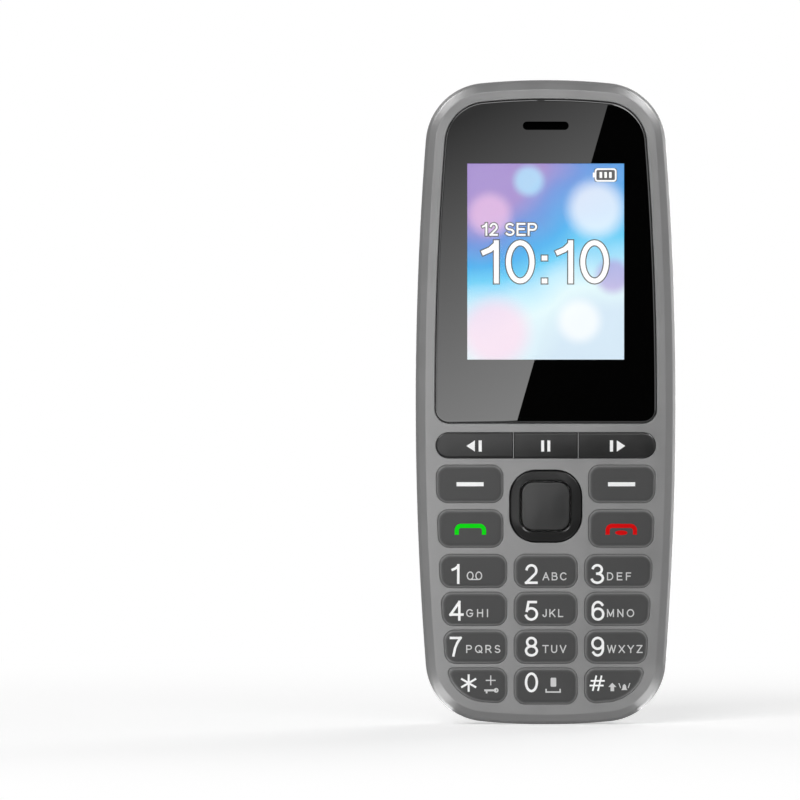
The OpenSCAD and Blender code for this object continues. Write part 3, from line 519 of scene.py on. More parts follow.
def place(p, depth):
    """Point of the frame, in metres."""
    return Vector((p[0], FRONT_Y + depth, p[1])) * MM


def holds(loop, spot):
    """Whether a closed loop runs round a point."""
    inside = False
    for a, b in zip(loop, [*loop[1:], loop[0]]):
        crosses = (a.y > spot.y) != (b.y > spot.y)
        if crosses and spot.x < a.x + (b.x - a.x) * (spot.y - a.y) / (b.y - a.y):
            inside = not inside
    return inside


def crown(x):
    """How far the rear lies under its middle line."""
    return CROWN_SAG * (min(abs(x), CROWN_X) / CROWN_X) ** 2


def stretched(points, reach):
    """The line with both ends drawn out."""
    first = points[0] + (points[0] - points[1]).normalized() * reach
    last = points[-1] + (points[-1] - points[-2]).normalized() * reach
    return [first, *points[1:-1], last]


# Least angle of a hard edge
PLAIN = 35
CREASED = 40
SMOOTH = 50


class Solid:
    """A mesh that grows ring by ring."""

    def __init__(self):
        self.bm = bmesh.new()

    def ring(self, points, depth):
        return [self.bm.verts.new(place(p, depth)) for p in points]

    def tube(self, points, *depths):
        """Wall along one outline, ring by ring."""
        rings = [self.ring(points, depth) for depth in depths]
        self.loft(rings)
        return rings

    def skin(self, shape, steps):
        """Wall through the outlines of a function, from pairs of its value and a depth."""
        rings = [self.ring(shape(value), depth) for value, depth in steps]
        self.loft(rings)
        return rings

    def lump(self, shape, steps):
        """Skin with both ends closed."""
        rings = self.skin(shape, steps)
        self.sheet(rings[0])
        self.sheet(rings[-1])

    def hoop(self, shape, steps):
        """Skin that runs back into its first outline."""
        rings = self.skin(shape, steps)
        self.wall(rings[-1], rings[0])

    def rail(self, points, z):
        """Ring in a level plane, from points of x and depth."""
        return [self.bm.verts.new(place((x, z), depth)) for x, depth in points]

    def wall(self, a, b, material=0):
        for i in range(len(a)):
            self.bm.faces.new((a[i - 1], a[i], b[i], b[i - 1])).material_index = material

    def loft(self, rings, material=0):
        for a, b in zip(rings, rings[1:]):
            self.wall(a, b, material)

    def sheet(self, outer, holes=()):
        """Face across the depth, in triangles, with holes."""
        loops = [[Vector((v.co.x, v.co.z)) / MM for v in loop] for loop in (outer, *holes)]
        corners = [v for loop in (outer, *holes) for v in loop]
        edges = []
        for loop in loops:
            first = len(edges)
            edges += [(first + i, first + (i + 1) % len(loop)) for i in range(len(loop))]
        points = [p for loop in loops for p in loop]
        made = geometry.delaunay_2d_cdt(points, edges, [], INSIDE_ONLY, TINY)
        places, _, triangles, sources = made[:4]
        faces = []
        for triangle in triangles:
            middle = sum((places[i] for i in triangle), Vector((0, 0))) / 3
            if not any(holds(hole, middle) for hole in loops[1:]):
                faces.append(self.bm.faces.new([corners[sources[i][0]] for i in triangle]))
        return faces

    def crowned_ring(self, points, depth):
        """Ring of the rolled rear, lowered beside the middle line by its share of the crown."""
        share = max(0, (depth - ROLL_Z) / ROLL_D)
        return [self.bm.verts.new(place(p, depth - share * crown(p[0]))) for p in points]

    def crowned_sheet(self, outer, holes):
        """Rear face in upright strips that lie on the crown."""
        faces = self.sheet(outer, holes)
        for i in range(1 - CROWN_STEPS, CROWN_STEPS):
            cut = [*faces, *{e for f in faces for e in f.edges}, *{v for f in faces for v in f.verts}]
            spot = (CROWN_X * i / CROWN_STEPS * MM, 0, 0)
            made = bmesh.ops.bisect_plane(
                self.bm, geom=cut, dist=SNAP * MM, plane_co=spot, plane_no=(1, 0, 0))["geom"]
            faces = [f for f in made if isinstance(f, bmesh.types.BMFace)]
        for v in {v for f in faces for v in f.verts}:
            v.co.y = (FRONT_Y + BODY_T - crown(v.co.x / MM)) * MM

    def face(self, ring, material=0):
        self.bm.faces.new(ring).material_index = material

    def slab(self, points, d0, d1):
        for ring in self.tube(points, d0, d1):
            self.sheet(ring)

    def post(self, centre, radius, d0, d1):
        self.slab(circle(centre, radius, HALF_STEPS), d0, d1)

    def ribbon(self, points, width, d0, d1):
        """Flat band along a line of points, closed where the last point is the first."""
        looped = (points[0] - points[-1]).length < TINY
        points = points[:-1] if looped else stretched(points, width / 2)
        count = len(points)
        steps = count if looped else count - 1
        ways = [(points[(i + 1) % count] - points[i]).normalized() for i in range(steps)]
        sides = [[], []]
        for i, p in enumerate(points):
            before = ways[i - 1] if i or looped else ways[0]
            after = ways[min(i, steps - 1)]
            along = (before + after).normalized()
            reach = width / 2 / max(along.dot(after), MITRE_MIN)
            across = Vector((-along.y, along.x)) * reach
            sides[0].append(p + across)
            sides[1].append(p - across)
        left, right = sides
        rows = [self.ring(*row) for row in ((left, d0), (right, d0), (right, d1), (left, d1))]
        for i in range(steps):
            j = (i + 1) % count
            for k in range(4):
                self.face((rows[k - 1][i], rows[k][i], rows[k][j], rows[k - 1][j]))
        if not looped:
            self.face([row[0] for row in rows])
            self.face([row[-1] for row in reversed(rows)])

    def mesh(self, name):
        bmesh.ops.recalc_face_normals(self.bm, faces=self.bm.faces)
        mesh = bpy.data.meshes.new(name)
        self.bm.to_mesh(mesh)
        self.bm.free()
        return mesh

    def piece(self, name, body, materials, nodes=(), slot=None, sharp=PLAIN, cutters=()):
        """Makes a piece of the frame, less the cutters, with its shading and materials."""
        obj = link(name, self.mesh(name))
        if cutters:
            carve(obj, cutters)
        for material in materials:
            obj.data.materials.append(material)
        obj.data.shade_smooth()
        obj.data.set_sharp_from_angle(angle=math.radians(sharp))
        normals = obj.modifiers.new("normals", "WEIGHTED_NORMAL")
        normals.keep_sharp = True
        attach(obj, body)
        if nodes:
            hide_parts(*nodes)


def link(name, data):
    obj = bpy.data.objects.new(name, data)
    bpy.context.scene.collection.objects.link(obj)
    return obj


def carve(obj, cutters):
    """Cuts the solids out of an object for good."""
    tools = [link(f"cutter_{i}", cutter.mesh("cutter")) for i, cutter in enumerate(cutters)]
    for tool in tools:
        modifier = obj.modifiers.new("cut", "BOOLEAN")
        modifier.operation = "DIFFERENCE"
        modifier.solver = "EXACT"
        modifier.object = tool
    graph = bpy.context.evaluated_depsgraph_get()
    obj.data = bpy.data.meshes.new_from_object(obj.evaluated_get(graph))
    obj.modifiers.clear()
    for tool in tools:
        bpy.data.objects.remove(tool)


# Materials

def srgb(*levels):
    """Linear colour from levels of 0 to 255; one level is a grey."""
    levels = levels * 3 if len(levels) == 1 else levels
    shares = [level / 255 for level in levels]
    return tuple(s / 12.92 if s <= 0.04045 else ((s + 0.055) / 1.055) ** 2.4 for s in shares)


def specular(level):
    return {"Specular IOR Level": level}


# Sockets of a colour mix
MIX_SHARE = 0
MIX_A = 6
MIX_B = 7
MIX_RESULT = 2

# Middle part of a noise, stretched to its full range
NOISE_RANGE = (0.3, 0.7)

# Least and most of a roughness over a surface, as shares of it
MOULD_SPREAD = (0.9, 1.12)
BRUSH_SPREAD = (0.7, 1.4)
SMEAR_SPREAD = (0.6, 1.6)


class Paint:
    """A material with short calls for its nodes; its level is a grey or a linear colour."""

    def __init__(self, name, level, roughness, **inputs):
        self.material = bpy.data.materials.new(name)
        self.material.use_nodes = True
        self.tree = self.material.node_tree
        self.shader = self.tree.nodes["Principled BSDF"]
        self.colour = level if isinstance(level, tuple) else srgb(level)
        self.set({"Base Color": (*self.colour, 1), "Roughness": roughness, **inputs})
        self.spot = self.node("ShaderNodeTexCoord")["Object"]

    def set(self, inputs):
        self.put(self.shader, inputs)
        return self

    def put(self, node, inputs):
        for key, value in inputs.items():
            if isinstance(value, bpy.types.NodeSocket):
                self.tree.links.new(value, node.inputs[key])
            else:
                node.inputs[key].default_value = value

    def node(self, kind, inputs=None, **settings):
        node = self.tree.nodes.new(kind)
        for key, value in settings.items():
            setattr(node, key, value)
        self.put(node, inputs or {})
        return node.outputs

    def math(self, operation, a, b=0.0):
        return self.node("ShaderNodeMath", {0: a, 1: b}, operation=operation)["Value"]

    def part(self, axis, vector=None):
        """One part of a vector, or of the place on the surface."""
        return self.node("ShaderNodeSeparateXYZ", {0: vector or self.spot})[axis]

    def measure(self, operation, other=(0, 0, 0)):
        """Number from the place on the surface and another vector."""
        return self.node("ShaderNodeVectorMath", {0: self.spot, 1: other}, operation=operation)["Value"]

    def along(self, start, end):
        """0 at one point to 1 at another, as a bare number without limits."""
        way = (end - start) / (end - start).length_squared
        return self.math("SUBTRACT", self.measure("DOT_PRODUCT", way), start.dot(way))

    def remap(self, value, low, high, to_low=0.0, to_high=1.0, kind="SMOOTHSTEP"):
        inputs = {"Value": value, "From Min": low, "From Max": high, "To Min": to_low, "To Max": to_high}
        return self.node("ShaderNodeMapRange", inputs, interpolation_type=kind)["Result"]

    def noise(self, scale, detail=3):
        inputs = {"Vector": self.spot, "Scale": scale, "Detail": detail}
        return self.node("ShaderNodeTexNoise", inputs)["Fac"]

    def patches(self, scale, detail=3, low=0.0, high=1.0):
        """Soft spots of a noise, between two values."""
        return self.remap(self.noise(scale, detail), *NOISE_RANGE, low, high)

    def mix(self, share, a, b):
        inputs = {MIX_SHARE: share}
        for socket, colour in ((MIX_A, a), (MIX_B, b)):
            inputs[socket] = (*colour, 1) if isinstance(colour, tuple) else colour
        return self.node("ShaderNodeMix", inputs, data_type="RGBA")[MIX_RESULT]

    def shade(self, factor):
        """The paint's colour, made lighter or darker."""
        return tuple(min(1, c * factor) for c in self.colour)

    def mottled(self, spread=0.03, scale=90, detail=4):
        """The paint's colour with a slight change over the surface."""
        return self.mix(self.patches(scale, detail), self.shade(1 - spread), self.shade(1 + spread))

    def coat(self, colour):
        return self.set({"Base Color": colour})

    def glow(self, colour, strength=1.0):
        return self.set({"Emission Color": colour, "Emission Strength": strength})

    def uneven(self, low, high, scale=220):
        """Roughness that varies over the surface."""
        return self.set({"Roughness": self.patches(scale, 3, low, high)})

    def worn(self, roughness, spread, scale=220):
        """Roughness that varies between two shares of it."""
        return self.uneven(roughness * spread[0], roughness * spread[1], scale)

    def bump(self, height, deep):
        """Relief from a height, deep in millimetres."""
        inputs = {"Height": height, "Distance": deep * MM}
        return self.set({"Normal": self.node("ShaderNodeBump", inputs)["Normal"]})

    def grain(self, size, deep):
        """Fine moulded texture of a size in millimetres."""
        return self.bump(self.noise(1 / (size * MM)), deep)

    def moulded(self, roughness, size, deep):
        """Uneven gloss and the fine texture of a mould."""
        return self.worn(roughness, MOULD_SPREAD).grain(size, deep).material


def plastic(name, level, roughness, size=0.25, deep=0.004, **inputs):
    """Moulded plastic with a fine texture."""
    paint = Paint(name, level, roughness, **inputs)
    return paint.coat(paint.mottled()).moulded(roughness, size, deep)


KEY_LEVEL = 62
# Painted highlight on the rolled edge of the keys: its grey, and the depth below the key top over which it
# comes in
KEY_RIM_HIGHLIGHT_LEVEL = 118
KEY_RIM_HIGHLIGHT_D = 0.16


def key_paint():
    """Matte key plastic with a painted highlight: lighter where its edge rolls down to the front plate, in
    place of the light that the rolled edge catches.
    """
    paint = Paint("key_plastic", KEY_LEVEL, 0.5, **specular(0.1))
    top = (FRONT_Y - KEY_PROUD) * MM
    # painted highlight: the rolled edge turns lighter below the key top
    edge = paint.remap(paint.part("Y"), top, top + KEY_RIM_HIGHLIGHT_D * MM)
    paint.coat(paint.mix(edge, paint.mottled(), srgb(KEY_RIM_HIGHLIGHT_LEVEL)))
    return paint.uneven(0.45, 0.56).grain(0.2, 0.003).material


def painted_light_gradient(name, levels, roughness, start, end, **inputs):
    """Moulded plastic with painted light and shade: its grey goes from one level to another between two
    points of x and z.
    """
    paint = Paint(name, levels[0], roughness, **inputs)
    ends = [Vector((x, 0, z)) * MM for x, z in (start, end)]
    share = paint.remap(paint.along(*ends), 0, 1)
    # painted sheen and shade: the grey goes from the first level to the second between the two points
    plain = paint.mix(share, *(srgb(level) for level in levels))
    paint.coat(paint.mix(paint.patches(90, 4, 0, 0.06), plain, (0, 0, 0)))
    return paint.moulded(roughness, 0.4, 0.001)


LATTICE_PITCH = 1.57
LATTICE_W = 0.3
LATTICE_D = 0.006
LATTICE_SHARE = 0.7
LATTICE_SHADE = 0.62
REAR_FACING = (0.2, 0.7)


def lattice(paint):
    """1 on the lines of a triangular lattice seen from behind, 0 in its cells."""
    lines = 0.0
    for a in (0, 60, 120):
        t = math.radians(a)
        across = Vector((math.cos(t), 0, math.sin(t))) / (LATTICE_PITCH * MM)
        far = paint.math("PINGPONG", paint.measure("DOT_PRODUCT", across), 0.5)
        lines = paint.math("ADD", paint.remap(far, 0, LATTICE_W / LATTICE_PITCH, 1, 0), lines)
    return lines


def cover_paint():
    """Matte grey plastic with a fine triangular lattice on the rear."""
    paint = Paint("cover_plastic", 107, 0.42)
    facing = paint.part("Y", paint.node("ShaderNodeNewGeometry")["Normal"])
    shown = paint.math("MULTIPLY", lattice(paint), paint.remap(facing, *REAR_FACING))
    share = paint.math("MULTIPLY", shown, LATTICE_SHARE)
    paint.coat(paint.mix(share, paint.mottled(scale=1800, detail=3), paint.shade(LATTICE_SHADE)))
    fine = paint.math("MULTIPLY", paint.noise(4200), 0.25)
    return paint.uneven(0.41, 0.44).bump(paint.math("SUBTRACT", fine, shown), LATTICE_D).material


def metal(name, level, roughness, stretch=(1, 1, 1)):
    """Bare metal with fine brush marks along one way."""
    paint = Paint(name, level, roughness, Metallic=1.0)
    paint.coat(paint.mottled(0.06, 160))
    paint.spot = paint.node("ShaderNodeMapping", {"Vector": paint.spot, "Scale": stretch})["Vector"]
    return paint.worn(roughness, BRUSH_SPREAD, 900).grain(0.3, 0.001).material


def weave_paint(name, level, pitch):
    """Fine woven mesh."""
    paint = Paint(name, level, 0.7, **DULL)
    counts = [paint.math("DIVIDE", paint.part(axis), pitch * MM) for axis in "XZ"]
    thread = paint.math("MAXIMUM", *(paint.math("PINGPONG", count, 0.5) for count in counts))
    paint.coat(paint.mix(paint.remap(thread, 0.2, 0.45), paint.shade(0.2), paint.shade(1.6)))
    return paint.bump(thread, 0.03).material


def board_paint():
    """Green lacquer over copper traces."""
    paint = Paint("board_lacquer", srgb(18, 84, 46), 0.35)
    inputs = {"Vector": paint.spot, "Scale": 700.0, "Randomness": 0.15}
    cells = paint.node("ShaderNodeTexVoronoi", inputs, feature="DISTANCE_TO_EDGE", distance="CHEBYCHEV")
    trace = paint.remap(cells["Distance"], 0.03, 0.08, 1, 0)
    return paint.coat(paint.mix(trace, paint.colour, srgb(46, 122, 62))).bump(trace, 0.02).material


# Wallpaper: colours up the screen, and round lights as x, z, radius and colour
SKY_STOPS = ((0.0, (206, 226, 240)), (0.2, (222, 243, 246)), (0.36, (186, 230, 246)),
             (0.52, (92, 200, 240)), (0.68, (44, 166, 230)), (0.86, (96, 140, 214)),
             (1.0, (158, 134, 200)))
SKY_LIGHTS = ((-9, 70, 8, (250, 205, 228)), (9, 92, 6.5, (255, 255, 255)),
              (6, 72, 5, (255, 255, 255)), (-10, 91, 5, (236, 190, 226)),
              (12, 80, 4, (160, 120, 205)), (-3, 97, 3.5, (170, 235, 255)))
SKY_SLANT = -0.35
SKY_SOFT = 0.35
LIGHT_CORE = 0.45
LIGHT_SHARE = 0.62


def picture_paint():
    """Lit display picture: soft bands of blue and violet with pale round lights."""
    paint = Paint("screen_picture", 0, 0.3)
    across = paint.remap(paint.part("X"), -SCREEN_W / 2 * MM, SCREEN_W / 2 * MM)
    up = paint.remap(paint.part("Z"), SCREEN_Z0 * MM, SCREEN_Z1 * MM)
    height = paint.math("ADD", paint.math("MULTIPLY", across, SKY_SLANT), up)
    height = paint.math("ADD", height, paint.math("MULTIPLY", paint.noise(70, 1), SKY_SOFT))
    ramp = paint.tree.nodes.new("ShaderNodeValToRGB")
    paint.put(ramp, {"Fac": height})
    elements = ramp.color_ramp.elements
    while len(elements) < len(SKY_STOPS):
        elements.new(0.5)
    for element, (position, level) in zip(elements, SKY_STOPS):
        element.position = position
        element.color = (*srgb(*level), 1)
    picture = ramp.outputs["Color"]
    for x, z, radius, level in SKY_LIGHTS:
        far = paint.measure("DISTANCE", place((x, z), PANEL_D0))
        share = paint.remap(far, radius * LIGHT_CORE * MM, radius * MM, LIGHT_SHARE, 0)
        picture = paint.mix(share, picture, srgb(*level))
    return paint.glow(picture).material


def lit(name, level):
    """Lit display mark."""
    paint = Paint(name, 0, 0.5)
    return paint.glow(paint.mix(paint.patches(900, 2), srgb(level - 4), srgb(level))).material


def window_paint():
    """Clear window over the picture, coated against reflections."""
    paint = Paint("lens_window", 255, 0.0, IOR=1.12, **{"Transmission Weight": 1.0})
    return paint.uneven(0.0, 0.01, 45).material


def gloss(name, level, roughness, **inputs):
    """Polished plastic with faint smears."""
    paint = Paint(name, level, roughness, **inputs)
    return paint.coat(paint.mottled(0.05, 60)).worn(roughness, SMEAR_SPREAD, 45).material


def ink(name, level, roughness, **inputs):
    """Printing ink, nearly smooth."""
    return plastic(name, level, roughness, deep=0.001, **inputs)


MATTE = specular(0.15)
DULL = specular(0.0)
HOUSING = plastic("housing_plastic", 109, 0.36)
COVER = cover_paint()
KEYS = key_paint()
# Media strip with a painted sheen: lighter at its top than at its bottom
MEDIA = painted_light_gradient("media_plastic", (26, 50), 0.24, (0, MEDIA_LOW.z), (0, MEDIA_HIGH.z), **MATTE)
NAV = plastic("nav_plastic", 20, 0.3, size=0.5, deep=0.001, **specular(0.11))
# Select key with painted light and shade: lighter at its upper left than at its lower right
SELECT = painted_light_gradient("select_plastic", (54, 32), 0.34, (-4, NAV_Z + 4), (4, NAV_Z - 4), **MATTE)
LENS = gloss("lens_black", 4, 0.006)
WINDOW = window_paint()
PICTURE = picture_paint()
PANEL = gloss("panel_glass", 12, 0.15)
SCREEN_WHITE = lit("screen_white", 255)
SCREEN_DARK = lit("screen_dark", 70)
INK_WHITE = ink("ink_white", 248, 0.45, **MATTE)
INK_PALE = ink("ink_pale", 205, 0.45, **MATTE)
INK_GREEN = ink("ink_green", srgb(20, 226, 26), 0.6, **DULL)
INK_RED = ink("ink_red", srgb(216, 20, 22), 0.6, **DULL)
RIM = gloss("trim_bright", 165, 0.25)
COLLAR = gloss("camera_collar", srgb(84, 75, 71), 0.1)
TRIM = gloss("trim_gloss", srgb(52, 44, 41), 0.015)
EYE = gloss("camera_glass", 8, 0.02, IOR=1.9)
STEEL = metal("sheet_steel", 190, 0.3, (1, 1, 0.08))
GOLD = metal("contact_gold", srgb(226, 182, 96), 0.22)
AMBER = plastic("flex_film", srgb(176, 108, 36), 0.3, size=0.6)
SILICONE = plastic("silicone", 165, 0.55, size=0.15)
SEAL = plastic("seal_foam", 24, 0.85, size=0.12, deep=0.02)
MESH = weave_paint("woven_mesh", 3, 0.16)
INNER = plastic("inner_plastic", 36, 0.5, size=0.2, deep=0.006)
CELL = plastic("cell_wrap", srgb(46, 50, 58), 0.3, size=0.8, deep=0.002)
LABEL = plastic("cell_label", 196, 0.42, size=0.4, deep=0.001)
STRIPE = plastic("cell_stripe", srgb(70, 110, 150), 0.42, size=0.4, deep=0.001)
BOARD = board_paint()

NODE_FINISHES = {
    MESH: ("earpiece_mesh", "sound_mesh"),
    SEAL: ("lens_adhesive", "loudspeaker_gasket", "microphone_boot"),
    STEEL: ("lcd_frame", "shield_can", "sim_holders", "memory_card_holder", "vibration_motor",
            "microphone", "usb_port", "housing_screws", "switch_domes"),
    AMBER: ("lcd_flex", "antenna_flex"),
    SILICONE: ("keypad_mat", "nav_pad"),
    INNER: ("earpiece_receiver", "battery_connector", "loudspeaker", "camera_module", "headset_jack",
            "rear_housing"),
    GOLD: ("battery_contacts",),
    CELL: ("battery",),
    BOARD: ("main_board",),
}
for finish, nodes in NODE_FINISHES.items():
    for node in nodes:
        for holder in frame["nodes"][node].material_slots:
            holder.material = finish


# Front housing and lens

def soft_opening(solid, shape, gap, radius, depth):
    """Outer and inner ring of an opening that goes down to a depth, with a round edge."""
    steps = [(gap + inset, deep) for inset, deep in quarter(radius, radius)]
    rings = solid.skin(shape, [*steps, (gap, depth)])
    return rings[0], rings[-1]


def bevel_profile():
    """Inset and depth from the front face over the sloped band to the parting line."""
    corners = spots((2 * BEVEL_W, 0), (BEVEL_W, 0), BEVEL_MID, (0, BEVEL_D), (0, SPLIT_D))
    profile = []
    for i, radius in enumerate(BEVEL_RADII):
        profile += fillet(*corners[i:i + 3], radius, EDGE_STEPS)
    return profile + [corners[-1]]


def screen_outline(grow=0):
    reach = SCREEN_W / 2 + grow
    return box_outline(-reach, reach, SCREEN_Z0 - grow, SCREEN_Z1 + grow, 0)


def front_shell():
    """Front housing with its key openings, the pocket of the lens and the tongue of the seam."""
    solid = Solid()
    back = SPLIT_D + TONGUE_L
    steps = [*bevel_profile(), (TONGUE_IN, SPLIT_D), (TONGUE_IN, back), (WALL, back), (WALL, FACE_T)]
    outer = solid.skin(outline, steps)
    shapes = [*NUMBER_SHAPES.values(), *CONTROL_SHAPES.values(), media_opening, nav_opening]
    ends = [soft_opening(solid, shape, KEY_GAP, EDGE_R, FACE_T) for shape in shapes]
    pocket = soft_opening(solid, lens_outline, LENS_GAP, POCKET_R, POCKET_D)
    through = [solid.tube(points, POCKET_D, FACE_T)
               for points in (screen_outline(WINDOW_M), lying(SLOT_L, SLOT_H, SLOT_Z))]
    solid.sheet(pocket[1], [rings[0] for rings in through])
    solid.sheet(outer[0], [rings[0] for rings in (*ends, pocket)])
    solid.sheet(outer[-1], [rings[1] for rings in (*ends, *through)])
    notches = [usb_notch(TONGUE_FRONT), jack_notch(TONGUE_FRONT)]
    solid.piece("front_shell", "handset", [HOUSING], ["front_housing"], "housing", SMOOTH, notches)


def lens():
    """Black lens with a clear window and the earpiece slot."""
    solid = Solid()
    steps = [(-inset, LENS_D0 + depth) for inset, depth in quarter(LENS_SOFT, LENS_ROLL, SOFT_STEPS)]
    rings = solid.skin(lens_outline, [*steps, (0, LENS_D1)])
    slot = solid.tube(lying(SLOT_L, SLOT_H, SLOT_Z), LENS_D0, LENS_D1)
    panes = [solid.ring(screen_outline(), depth) for depth in (LENS_D0, LENS_D1)]
    for edge, hole, pane in zip((rings[0], rings[-1]), slot, panes):
        solid.sheet(edge, [hole, pane])
        solid.face(pane, 1)
    solid.piece("lens", "handset", [LENS, WINDOW], ["display_lens"], "lens", SMOOTH)


def display():
    """Display glass with the lit picture area on its front."""
    solid = Solid()
    low, high = PANEL_BOX
    front, back = solid.tube(box_outline(low.x, high.x, low.z, high.z, 0), PANEL_D0, PANEL_D1)
    area = solid.ring(screen_outline(), PANEL_D0)
    solid.sheet(front, [area])
    solid.face(area, 1)
    solid.face(back)
    solid.piece("display_glass", "handset", [PANEL, PICTURE], ["lcd_panel"], "display")


# Keys

def top_steps(dome, soft, deep, steps):
    """Inset and depth from the slight dome of a key over its round edge."""
    sink = dome[-1][1] if dome else 0
    return [*dome, *((inset, sink + depth) for inset, depth in quarter(soft, deep - sink, steps))]


def key_piece(node, shape, slot, material, soft, dome=()):
    """Key with a soft upper edge, its rim under the front plate and its plunger."""
    solid = Solid()
    top = top_steps(dome, soft, KEY_PROUD, SOFT_STEPS)
    steps = [(-inset, depth - KEY_PROUD) for inset, depth in top]
    back = LIP_D + LIP_T
    solid.lump(shape, [*steps, (0, LIP_D), (LIP_W, LIP_D), (LIP_W, back)])
    solid.post(node_middle(node).xz, PLUNGER_R, back, node_depths(node)[1])
    solid.piece(f"{node}_cap", node, [material], [node], slot, SMOOTH)


def media_ribs():
    """Thin ribs of the housing in the two slits of the media strip."""
    solid = Solid()
    grow = KEY_GAP - LIP_W
    slits = ((node_box("media_prev_key")[1].x, MEDIA_LOW.x), (MEDIA_HIGH.x, node_box("media_next_key")[0].x))
    for left, right in slits:
        x = (left + right) / 2
        points = box_outline(x - RIB_W / 2, x + RIB_W / 2, MEDIA_LOW.z - grow, MEDIA_HIGH.z + grow, 0)
        for ring in solid.tube(points, RIB_D, FACE_T):
            solid.face(ring)
    solid.piece("media_ribs", "handset", [HOUSING], slot="housing")


def nav_ring():
    """Navigation ring that falls off outward from its inner edge."""
    solid = Solid()
    hole = SELECT_W + 2 * SELECT_GAP
    hole_r = SELECT_R + SELECT_GAP
    bend = RING_CREST * RING_BEND
    inner_steps = ((0, RING_D1), (0, RING_D0 + RING_CREST), (bend.x, RING_D0 + bend.y),
                   (RING_CREST, RING_D0), (RING_CREST + RING_FLAT, RING_D0 + RING_FALL))
    lip_d = RING_D1 - NAV_LIP_T
    turn = RING_SOFT * RING_TURN
    outer_steps = ((2 * RING_SOFT, -RING_SOFT - RING_RISE), (RING_SOFT, -RING_SOFT), (turn, 0),
                   (0, RING_SOFT), (0, lip_d), (-NAV_LIP, lip_d), (-NAV_LIP, RING_D1))
    steps = [((hole + 2 * grow, NAV_Z, hole_r + grow), depth) for grow, depth in inner_steps]
    steps += [((NAV_W - 2 * inset, NAV_Z, NAV_R - inset), depth) for inset, depth in outer_steps]
    solid.hoop(lambda square: square_outline(*square), steps)
    solid.piece("nav_ring_cap", "nav_ring", [NAV], ["nav_ring"], "nav", CREASED)


def select_outline(inset):
    r = max(SELECT_R_MIN, SELECT_R - inset * SELECT_TAPER)
    return square_outline(SELECT_W - 2 * inset, NAV_Z, r)


def select_key():
    """Square key inside the ring, slightly domed."""
    solid = Solid()
    top = top_steps(SELECT_DOME, SELECT_SOFT, SELECT_DEEP, SELECT_STEPS)
    steps = [(inset, SELECT_D0 + depth) for inset, depth in top]
    solid.lump(select_outline, [*steps, (0, SELECT_BACK)])
    solid.post((0, NAV_Z), PLUNGER_R, SELECT_BACK, SELECT_D1)
    solid.piece("select_cap", "nav_select_key", [SELECT], ["nav_select_key"], "select", SMOOTH)


# Legends

def bow(x, z, rx, rz, start, end):
    """Points on an oval arc, both ends included."""
    steps = max(BOW_STEPS, int(abs(end - start) / BOW_TURN))
    angles = [math.radians(start + (end - start) * i / steps) for i in range(steps + 1)]
    return [(x + rx * math.cos(t), z + rz * math.sin(t)) for t in angles]


DIGIT_6 = [[*bow(0.33, 0.63, 0.3, 0.37, 35, 180), (0.03, 0.31)], bow(0.33, 0.31, 0.3, 0.31, 0, 360)]
LETTER_P = [[(0, 0), (0, 1)], [(0, 1), (0.4, 1), *bow(0.4, 0.73, 0.28, 0.27, 90, -90), (0, 0.46)]]

